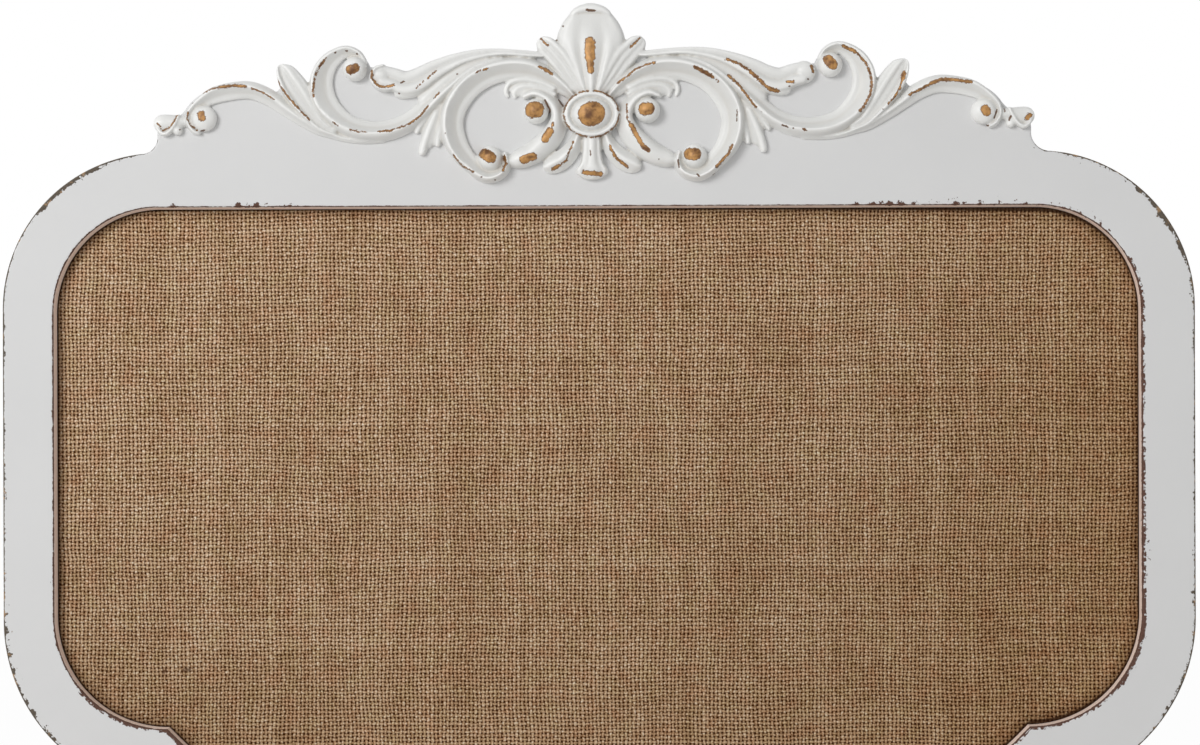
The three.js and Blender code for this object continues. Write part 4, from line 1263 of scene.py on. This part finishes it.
# %% Sizes of the cloth
cloth_thickness = 0.9 * mm
panel_play = 0.5 * mm  # from the cloth to the rebate's wall
hem_width = 25 * mm
pleat_length, pleat_height = 7 * mm, 0.9 * mm
middle_offset = rebate_width - panel_play - cloth_thickness / 2
front_middle_y = cloth_low.y + cloth_thickness / 2
hem_middle_y = cloth_high.y - cloth_thickness / 2
fold_radius = 1.2 * mm
out_of_reach = 20 * mm  # far enough from the wall of the opening for its painted shade
cloth_edge = opening_edge[::2]
cloth_normals = normals_of(cloth_edge)
print("cloth from", round(front_middle_y / mm, 2), "to", round(hem_middle_y / mm, 2), "mm")


# %% Path of the cloth round the panel's edge
def cloth_path():
    """Rows of [offset from the opening, y, the way out as two numbers, flat offset, share of the hem]."""
    turns = np.radians(np.linspace(0, 90, 7))
    rows = [[-inset * mm, front_middle_y, 0, -1] for inset in (14, 8, 4, 2, 1, 0)]
    rows.append([middle_offset / 2, front_middle_y, 0, -1])
    for turn in turns:
        out, back = math.sin(turn), math.cos(turn)
        offset = middle_offset - fold_radius * (1 - out)
        rows.append([offset, front_middle_y + fold_radius * (1 - back), out, -back])
    for depth in np.linspace(front_middle_y + fold_radius, hem_middle_y - fold_radius, 5)[1:-1]:
        rows.append([middle_offset, depth, 1, 0])
    for turn in turns:
        out, back = math.cos(turn), math.sin(turn)
        offset = middle_offset - fold_radius * (1 - out)
        rows.append([offset, hem_middle_y - fold_radius * (1 - back), out, back])
    hem_start = len(rows)
    for inset in np.linspace(fold_radius, hem_width - cloth_thickness / 2, 14)[1:]:
        rows.append([middle_offset - inset, hem_middle_y, 0, 1])
    rows = np.array(rows)
    steps = np.hypot(*np.diff(rows[:, :2], axis=0).T)
    flat = rows[0, 0] + np.concatenate([[0], np.cumsum(steps)])
    in_hem = np.clip((np.arange(len(rows)) - hem_start + 1) / (len(rows) - hem_start), 0, 1)
    return np.column_stack([rows, flat, in_hem])


path = cloth_path()
print("rings of cloth:", len(path), "reaching", round(path[-1][4] / mm, 1), "mm past the opening")


# %% Make the cloth
def corner_share():
    """1 where the outline turns, 0 where it runs straight, eased along it."""
    ahead = np.roll(cloth_normals, -3, 0)
    behind = np.roll(cloth_normals, 3, 0)
    turning = np.clip(np.linalg.norm(ahead - behind, axis=1) / 0.15, 0, 1)
    for _ in range(8):
        turning = (np.roll(turning, 1) + turning + np.roll(turning, -1)) / 3
    return turning


def make_cloth():
    """The outer skin of the cloth and the inner one, which meet at the end of the hem."""
    steps = np.linalg.norm(np.roll(cloth_edge, -1, 0) - cloth_edge, axis=1)
    run = np.concatenate([[0], np.cumsum(steps)[:-1]])
    pleats = np.clip(np.sin(run / pleat_length * math.pi) * corner_share(), 0, 1) * pleat_height
    rings, flats = [], []
    for skin_side, rows in ((1, path), (-1, path[::-1])):
        for offset, y, out, back, flat, hem_share in rows:
            half = skin_side * cloth_thickness / 2
            ring = ring_at(cloth_edge, cloth_normals, offset + out * half, y + back * half)
            ring[:, 1] += pleats * min(hem_share * 2, 1)
            rings.append(ring)
            flats.append(cloth_edge + cloth_normals * flat)
    cloth = new_piece("burlap_sheet", np.vstack(rings), skin(rings, 0))
    count = len(cloth_edge)
    close_skin(cloth, [[(first, count)] for first in (0, (len(rings) - 1) * count)])
    hidden = wall_lean(cloth_normals) + rim_inset(cloth_edge)
    shown = path[:, 1] < front_middle_y + fold_radius
    far = np.where(shown, np.minimum(-path[:, 0], out_of_reach), out_of_reach)
    set_attribute(cloth, "from_wall", (np.concatenate([far, far[::-1]])[:, None] - hidden).ravel())
    layer = cloth.data.uv_layers.new(name="flat_cloth")
    corners = np.zeros(len(cloth.data.loops), np.int32)
    cloth.data.loops.foreach_get("vertex_index", corners)
    layer.data.foreach_set("uv", np.vstack(flats)[corners].astype(np.float32).ravel())
    return cloth


cloth = make_cloth()
smooth(cloth, 50)
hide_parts("burlap_cover")
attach(cloth, "board")

# %% [markdown]
# ## The weave
# Burlap is a plain weave of thick, uneven jute: each thread goes over one and under the next, and dark
# gaps show between them. The material works out, from the flat place, which thread is on top, how round
# it is there, and how far it is from its middle. The threads sway and swell a little, and their colour
# changes with every crossing. The heights of the threads also feed the bump.

# %% Places on the cloth, in threads
burlap = new_finish("burlap", Roughness=0.95, Specular_IOR_Level=0.08)
pitch = 2.18 * mm
flat = burlap.add("UVMap", {"uv_map": "flat_cloth"})


def flat_noise(size, detail, output=0):
    """Noise on the flat cloth, as a number or, as output 1, a colour."""
    sockets = {"Vector": flat, "Scale": 1 / size, "Detail": detail}
    return burlap.add("TexNoise", {"noise_dimensions": "2D"}, sockets, output)


drift_u, drift_v = burlap.parts(flat_noise(75 * mm, 2, 1), kind="SeparateColor")
sway_u, sway_v = burlap.parts(flat_noise(7 * mm, 2, 1), kind="SeparateColor")
flat_u, flat_v = burlap.parts(flat)
across_warp = flat_u / pitch + (drift_u - 0.5) * 2.0 + (sway_u - 0.5) * 0.35
across_weft = flat_v / pitch + (drift_v - 0.5) * 2.0 + (sway_v - 0.5) * 0.35
print("thread pitch:", round(pitch / mm, 2), "mm")


# %% Threads
def thread(number_along, along, other):
    """One set of threads: how far from a thread's middle, its number, its own share and its slow one."""
    number = burlap.maths("FLOOR", number_along)
    share = number_along - number
    own = burlap.add("TexWhiteNoise", {"noise_dimensions": "1D"}, {"W": number + other})
    place = burlap.add("CombineXYZ", None, {0: number * 7.3 + other, 1: along * 0.45, 2: other})
    slow = burlap.add("TexNoise", None, {"Vector": place, "Scale": 1, "Detail": 2})
    middle = 0.5 + (slow - 0.5) * 0.34
    width = 0.325 + (own - 0.5) * 0.04 + (slow - 0.5) * 0.24
    away = burlap.maths("ABSOLUTE", share - middle) / width
    return away, number, own, slow


def lift(along, number):
    """Height of a thread where it goes over and under, from -1 to 1."""
    odd = burlap.maths("MODULO", burlap.maths("ABSOLUTE", number), 2.0)
    return burlap.maths("SINE", along * math.pi) * (1 - odd * 2)


def roundness(away):
    return burlap.maths("SQRT", burlap.maths("MAXIMUM", 1 - away * away, 0.0))


warp_away, warp_number, warp_own, warp_slow = thread(across_warp, across_weft, 3.7)
weft_away, weft_number, weft_own, weft_slow = thread(across_weft, across_warp, 11.2)
warp_height = lift(across_weft, warp_number) * 0.4 + roundness(warp_away) * 0.75 + 0.1
weft_height = lift(across_warp, weft_number) * -0.4 + roundness(weft_away) * 0.75
in_warp = 1 - burlap.rise(warp_away, 0.9, 1.08)
in_weft = 1 - burlap.rise(weft_away, 0.9, 1.08)
warp_top = warp_height * in_warp - (1 - in_warp)
weft_top = weft_height * in_weft - (1 - in_weft)
top = burlap.maths("MAXIMUM", warp_top, weft_top)
warp_shows = burlap.rise(warp_top - weft_top, -0.06, 0.06)
print("weave:", len(burlap.tree.nodes), "nodes with its heights")

# %% Colour of the weave
own = weft_own + (warp_own - weft_own) * warp_shows
slow = weft_slow + (warp_slow - weft_slow) * warp_shows
fibre_place = burlap.add("CombineXYZ", None, {0: across_warp, 1: across_weft, 2: warp_shows * 5})
fibres = burlap.add("TexNoise", None, {"Vector": fibre_place, "Scale": 2.0, "Detail": 4})
tone = (own - 0.5) * 0.14 + (slow - 0.5) * 0.35 + (fibres - 0.5) * 1.9 + 0.5
tone = tone + (flat_noise(30 * mm, 3) - 0.5) * 0.24
jute_stops = [
    (0, colour(126, 92, 60)), (0.35, colour(186, 152, 118)), (0.62, colour(223, 193, 160)),
    (1, colour(255, 244, 226)),
]  # fmt: skip
thread_colour = burlap.add("ValToRGB", {"stops": jute_stops}, {0: tone})
# The threads are painted darker at their sides and dips as shade, and the gaps between them are painted dark
# as the shade inside them.
shaded = burlap.mix(burlap.rise(top, 0.35, 1.15), colour(166, 144, 120), colour(255, 255, 255))
thread_colour = burlap.mix(1.0, thread_colour, shaded, "MULTIPLY")
gap_shade = 1 - burlap.rise(top, -0.25, 0.46)
look = burlap.mix(gap_shade, thread_colour, colour(62, 30, 8))
reddish = flat_noise(11 * mm, 2)
look = burlap.mix(burlap.rise(reddish, 0.5, 0.75) * 0.3, look, colour(255, 222, 206), "MULTIPLY")
greenish = 0.22 - burlap.rise(reddish, 0.3, 0.5) * 0.22
look = burlap.mix(greenish, look, colour(244, 255, 224), "MULTIPLY")
print("weave:", len(burlap.tree.nodes), "nodes with its colour")

# %% Tone drift and painted shade of the cloth
# The cloth is darker to the lower right and yellower to the right. It has painted shade near the wall of the
# opening, and a painted contact shadow where it meets it.
low_left = burlap.rise(flat_u * -0.7 - flat_v, 0.38, 0.56)
# Darker towards the lower right.
lower_right_darkening = burlap.rise(flat_u * 0.6 - flat_v + low_left * 0.3 + 0.1, 0.0, 0.66)
look = burlap.mix(lower_right_darkening * 0.9, look, colour(226, 222, 214), "MULTIPLY")
to_right = burlap.rise(flat_u - flat_v * 0.25, 0.16, 0.36)
look = burlap.mix(to_right, look, colour(246, 240, 230), "MULTIPLY")
from_wall = burlap.attribute("from_wall")
# Painted shade on the cloth near the wall of the opening, darkest at the wall.
tint_share = 1 - burlap.rise(from_wall, 0.0, 8 * mm)
look = burlap.mix(tint_share * 0.55, look, colour(150, 128, 104), "MULTIPLY")
# A painted contact shadow where the cloth meets the wall.
painted_contact_shadow = 1 - burlap.rise(from_wall, 0.1 * mm, 1.2 * mm)
look = burlap.mix(painted_contact_shadow * 0.85, look, colour(46, 24, 12))
# Rows are [place across, place up, half length] of thick dark knots in a thread.
knots, knot_height = [[-228, -311, 3.4], [-240.5, -312, 1.8]], 1.5
for knot_x, knot_z, half in knots:
    from_x, from_z = (flat_u - knot_x * mm) / (half * mm), (flat_v - knot_z * mm) / (knot_height * mm)
    ragged = from_x * from_x + from_z * from_z + (flat_noise(1.3 * mm, 2) - 0.5) * 2.4
    look = burlap.mix(0.75 - burlap.rise(ragged, 0.2, 1.1) * 0.75, look, colour(74, 46, 28))
set_look(burlap, Base_Color=look, Normal=burlap.bump(top + fibres * 0.35, 0.42 * mm, 0.8))
give(cloth, burlap)

# %% [markdown]
# ## Fittings on the back
# The fittings are small zinc-plated hardware. Each kind is modelled once at the origin, as by hand from a
# primitive, and copied to the places that the solids give, each copy with a mesh of its own.

# %% Helpers for the fittings
def round_edges(piece, wanted, width, segments):
    """Bevels the edges whose two ends are wanted."""
    select_only(piece)
    bpy.ops.object.mode_set(mode="EDIT")
    bpy.ops.mesh.select_mode(type="EDGE")
    bpy.ops.mesh.select_all(action="DESELECT")
    shape = bmesh.from_edit_mesh(piece.data)
    for edge in shape.edges:
        edge.select = all(wanted(corner.co) for corner in edge.verts)
    shape.select_flush_mode()
    bmesh.update_edit_mesh(piece.data)
    bpy.ops.mesh.bevel(offset=width, segments=segments, affect="EDGES")
    bpy.ops.object.mode_set(mode="OBJECT")


def add_cylinder(name, radius, low_y, high_y, sides=32):
    """A cylinder from low_y to high_y, along Y through the origin."""
    middle, depth = (0, (low_y + high_y) / 2, 0), high_y - low_y
    bpy.ops.mesh.primitive_cylinder_add(
        vertices=sides, radius=radius, depth=depth, location=middle, rotation=(-quarter, 0, 0)
    )
    return made_piece(name)


def cut_with(piece, cutter):
    finish_with(piece, "BOOLEAN", operation="DIFFERENCE", solver="EXACT", object=cutter)
    bpy.data.objects.remove(cutter)


def place_copy(model, name, node, move, turn=0):
    """A copy of the model, turned about Y and moved, which stands for a solid and moves with it."""
    piece = model.copy()
    piece.data = model.data.copy()
    scene.collection.objects.link(piece)
    select_only(piece)
    piece.rotation_euler = (0, turn, 0)
    piece.location = move
    made_piece(name)
    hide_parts(node)
    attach(piece, body_of[node])
    return piece


# %% Plated steel
steel = new_finish("plated_steel", Metallic=1.0)
worn = steel.noise(3 * mm, 4)
fine = steel.noise(0.35 * mm, 2)
set_look(
    steel,
    Base_Color=steel.mix(worn, colour(214, 214, 208), colour(186, 188, 186)),
    Roughness=0.24 + worn * 0.2,
    Normal=steel.bump(worn * 0.5 + fine * 0.3, 0.03 * mm, 0.5),
)

# %% Model a screw
head_radius, head_height, head_round = 3.2 * mm, 1.8 * mm, 1.35 * mm
shank_radius, tip_round, board_screw_length = 1.5 * mm, 1.2 * mm, 12 * mm
overlap = 0.2 * mm  # of the shank with the head
screw = add_cylinder("screw_model", head_radius, 0, head_height)
round_edges(screw, lambda place: place.y > head_height - hair, head_round, 6)
slot_length, slot_width, slot_depth = 3.6 * mm, 0.75 * mm, 1.1 * mm
for width, length in ((slot_width, slot_length), (slot_length, slot_width)):
    scale = (width, slot_depth * 2, length)
    bpy.ops.mesh.primitive_cube_add(size=1, location=(0, head_height, 0), scale=scale)
    cut_with(screw, bpy.context.object)
shank = add_cylinder("shank", shank_radius, -board_screw_length, overlap, 24)
round_edges(shank, lambda place: place.y < -board_screw_length + hair, tip_round, 3)
select_only(screw)
shank.select_set(True)
bpy.ops.object.join()
smooth_and_give(screw, steel)

# %% Put the screws in
turn_of_next_screw = 1.7  # in radians, so that no two slots look alike
screw_nodes = [name for name in frame["nodes"] if "screw" in name]
for number, node in enumerate(sorted(screw_nodes)):
    low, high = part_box(node)
    seat = (middle_of(node).x, high.y - head_height, middle_of(node).z)
    name = node.replace("screw", "wood_screw")
    piece = place_copy(screw, name, node, seat, turn_of_next_screw * number)
    longer = (high.y - low.y) - head_height - board_screw_length
    for corner in piece.data.vertices:
        if corner.co.y < seat[1] - board_screw_length / 2:
            corner.co.y -= longer
bpy.data.objects.remove(screw)
print("screws:", len(screw_nodes))

# %% Model a turn button
button_reach, button_width, button_thickness = 20 * mm, 10 * mm, 1.5 * mm
hole_radius, button_round = 1.8 * mm, 0.35 * mm
hole_from, hole_to = -1 * mm, 3 * mm  # past both faces of a button
bpy.ops.mesh.primitive_circle_add(
    vertices=48, radius=button_width / 2, fill_type="NGON", rotation=(quarter, 0, 0)
)
button = made_piece("button_model")
for corner in button.data.vertices:
    if corner.co.x > hair:
        corner.co.x += button_reach - button_width / 2
thicken = {"value": (0, button_thickness, 0)}
edit_whole(button, bpy.ops.mesh.extrude_region_move, TRANSFORM_OT_translate=thicken)
face_outwards(button)
cut_with(button, add_cylinder("hole", hole_radius, hole_from, hole_to))
finish_with(button, "BEVEL", width=button_round, segments=3, limit_method="ANGLE", angle_limit=0.7)
smooth_and_give(button, steel)

# %% Put the turn buttons on
button_turns = {
    "top_left": quarter, "top_right": quarter, "bottom_left": -quarter, "bottom_right": -quarter,
    "left": 0, "right": 2 * quarter,
}  # fmt: skip
for name, turn in button_turns.items():
    node = f"turn_button_{name}"
    axis = middle_of(f"turn_button_screw_{name}")
    pivot = (axis.x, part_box(node)[0].y, axis.z)
    place_copy(button, f"steel_button_{name}", node, pivot, turn)
bpy.data.objects.remove(button)
print("turn buttons:", len(button_turns))

# %% [markdown]
# ## Hangers and bumpers
# A ring hanger's D ring is bent from round wire, which in Blender is a curve with a round bevel. Its
# strap is a folded strip. The solid of the strap already has the right shape, so a copy of it only gets
# its edges eased, as a stamped strip has them.

# %% Model the D ring
wire_radius, ring_bend = 1.1 * mm, 2.5 * mm
ring_inner_width, ring_inner_height = 13 * mm, 14.5 * mm
ring_half_width = ring_inner_width / 2 + wire_radius
ring_bow_z = ring_inner_height + wire_radius - ring_half_width


def arc_places(centre_x, centre_z, radius, start, end, count):
    return [
        (centre_x + radius * math.cos(turn), 0, centre_z + radius * math.sin(turn))
        for turn in np.linspace(start, end, count)
    ]


ring_line = [
    *arc_places(ring_half_width - ring_bend, ring_bend, ring_bend, -quarter, 0, 9),
    *arc_places(0, ring_bow_z, ring_half_width, 0, 2 * quarter, 33),
    *arc_places(ring_bend - ring_half_width, ring_bend, ring_bend, 2 * quarter, 3 * quarter, 9),
]
wire = bpy.data.curves.new("ring_model", "CURVE")
wire.dimensions = "3D"
wire.bevel_depth = wire_radius
wire.bevel_resolution = 4
line = wire.splines.new("POLY")
line.points.add(len(ring_line) - 1)
for point, place in zip(line.points, ring_line):
    point.co = (*place, 1)
line.use_cyclic_u = True
ring = bpy.data.objects.new("ring_model", wire)
scene.collection.objects.link(ring)
select_only(ring)
bpy.ops.object.convert(target="MESH")
ring = bpy.context.object
face_outwards(ring)
smooth_and_give(ring, steel, 60)
for side in ("left", "right"):
    node = f"hanger_ring_{side}"
    pivot = (*middle_of(node).xy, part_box(node)[0].z + wire_radius)
    place_copy(ring, f"wire_ring_{side}", node, pivot)
bpy.data.objects.remove(ring)

# %% Ease the straps
strap_round = 0.14 * mm
for side in ("left", "right"):
    node = f"hanger_strap_{side}"
    strap = place_copy(frame["nodes"][node], f"folded_strap_{side}", node, (0, 0, 0))
    face_outwards(strap)
    edit_whole(strap, bpy.ops.mesh.dissolve_limited, angle_limit=math.radians(2))
    finish_with(strap, "BEVEL", width=strap_round, segments=2, limit_method="ANGLE", angle_limit=0.8)
    smooth_and_give(strap, steel)

# %% Model and place the bumpers
rubber = new_finish("rubber", Roughness=0.75)
tint_share = rubber.noise(2 * mm, 4)
set_look(
    rubber,
    Base_Color=rubber.mix(tint_share, colour(52, 52, 53), colour(72, 71, 70)),
    Roughness=0.65 + tint_share * 0.25,
    Normal=rubber.bump(rubber.noise(0.3 * mm, 2), 0.05 * mm, 0.5),
)
bumper_low, bumper_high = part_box("wall_bumper_top_left")
bumper_radius = (bumper_high.x - bumper_low.x) / 2
wall_round, seat_round = 0.9 * mm, 0.3 * mm
bumper = add_cylinder("bumper_model", bumper_radius, bumper_low.y, bumper_high.y, 48)
round_edges(bumper, lambda place: place.y > bumper_high.y - hair, wall_round, 5)
round_edges(bumper, lambda place: place.y < bumper_low.y + hair, seat_round, 2)
smooth_and_give(bumper, rubber)
for corner_name in ("top_left", "top_right", "bottom_left", "bottom_right"):
    node = f"wall_bumper_{corner_name}"
    seat = middle_of(node)
    place_copy(bumper, f"rubber_bumper_{corner_name}", node, (seat.x, 0, seat.z))
bpy.data.objects.remove(bumper)
print("bumper radius:", round(bumper_radius / mm, 2), "mm")

# %% [markdown]
# ## Hardboard and cork
# The stiff sheet behind the cork shows its rough side at the back, with the print of the screen it was
# pressed on. The cork is ground and pressed, so it is a mosaic of grains in several browns. Their solids
# are already right, so they only get their materials.

# %% Hardboard
hardboard = new_finish("hardboard", Roughness=0.8)
fibres = hardboard.noise(1.5 * mm, 5, distortion=1.5)
blotches = hardboard.noise(40 * mm, 3)
screen_pitch = 1.4 * mm
places = [at * (2 * math.pi / screen_pitch) for at in hardboard.parts(hardboard.place, (0, 2))]
mesh_print = hardboard.maths("SINE", places[0]) * hardboard.maths("SINE", places[1])
board_brown = hardboard.mix(fibres, colour(128, 92, 62), colour(86, 60, 40))
board_brown = hardboard.mix(blotches * 0.5, board_brown, colour(112, 80, 55))
set_look(
    hardboard,
    Base_Color=board_brown,
    Roughness=0.72 + fibres * 0.2,
    Normal=hardboard.bump(mesh_print * 0.5 + fibres, 0.12 * mm, 0.7),
)
give(frame["nodes"]["hardboard_backer"], hardboard)

# %% Cork
cork = new_finish("cork", Roughness=0.9)
grain_sockets = {"Vector": cork.place, "Scale": 1 / (2.2 * mm), "Randomness": 1.0}
grain_colour = cork.add("TexVoronoi", None, grain_sockets, "Color")
grain_share = cork.add("SeparateColor", None, {0: grain_colour})
grain_edge = cork.add("TexVoronoi", {"feature": "DISTANCE_TO_EDGE"}, grain_sockets)
cork_stops = [(0, colour(120, 82, 50)), (0.5, colour(178, 132, 88)), (1, colour(206, 164, 118))]
cork_tone = grain_share * 0.8 + cork.noise(1 * mm, 3) * 0.2
cork_brown = cork.add("ValToRGB", {"stops": cork_stops}, {0: cork_tone})
seam = 1 - cork.rise(grain_edge, 0.0, 0.09)
set_look(
    cork,
    Base_Color=cork.mix(seam * 0.7, cork_brown, colour(86, 54, 32)),
    Roughness=0.85 + seam * 0.1,
    Normal=cork.bump(grain_edge - seam, 0.2 * mm, 0.6),
)
give(frame["nodes"]["cork_sheet"], cork)

# %% [markdown]
# ## Light and floor
# The photograph has soft light from the upper left and a white background. One large lamp gives that
# light, and the world fills the shadows. To the camera, the world and most of the floor are white.

# %% Key light
face_middle = np.array([0, face_y, (board_low.z + board_high.z) / 2])
key_place, key_size, key_watts = (-2.1, -3.45, 1.05), 1.35, 80
bpy.ops.object.light_add(type="AREA", location=key_place)
key = bpy.context.object
key.name = "key_light"
key.data.shape = "SQUARE"
key.data.size = key_size
key.data.energy = key_watts
away = key_place - face_middle
key.rotation_euler = (math.atan2(math.hypot(*away[:2]), away[2]), 0, math.atan2(away[0], -away[1]))
print("key light at", key_place)

# %% World
fill_strength = 0.44
scene.world = bpy.data.worlds.new("studio")
scene.world.use_nodes = True
scene.world.node_tree.nodes.clear()
world = Finish(scene.world.node_tree)


def seen_ray(finish):
    """1 for a ray that shows the background itself, straight, mirrored or through glass."""
    rays = [
        finish.add("LightPath", None, None, name)
        for name in ("Is Camera Ray", "Is Glossy Ray", "Is Transmission Ray")
    ]
    return finish.maths("MAXIMUM", finish.maths("MAXIMUM", rays[0], rays[1]), rays[2])


strength = fill_strength + seen_ray(world) * (1 - fill_strength)
sky = world.add("Background", None, {"Color": (1, 1, 1, 1), "Strength": strength})
world.add("OutputWorld", None, {"Surface": sky})
print("world: fill", fill_strength)

# %% Floor
floor_size, under_part = 14, 1 * mm
floor_z = cad_low.z - under_part
bpy.ops.mesh.primitive_plane_add(size=floor_size, location=(0, 0, floor_z))
floor = bpy.context.object
floor.name = "pale_floor"
floor_paint = new_finish("pale_floor", Base_Color=colour(236, 236, 235), Roughness=0.9)
glow = floor_paint.add("Emission", None, {"Color": (1, 1, 1, 1), "Strength": 1.0})
lit = Value(floor_paint, floor_paint.shader.outputs[0])
mixed = {0: seen_ray(floor_paint) * 0.97, 1: lit, 2: glow}
shown = floor_paint.add("MixShader", None, mixed)
floor_paint.set_socket(floor_paint.tree.nodes["Material Output"].inputs["Surface"], shown)
give(floor, floor_paint)
floor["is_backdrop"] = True
print("floor at", round(floor_z, 4))

low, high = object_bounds()
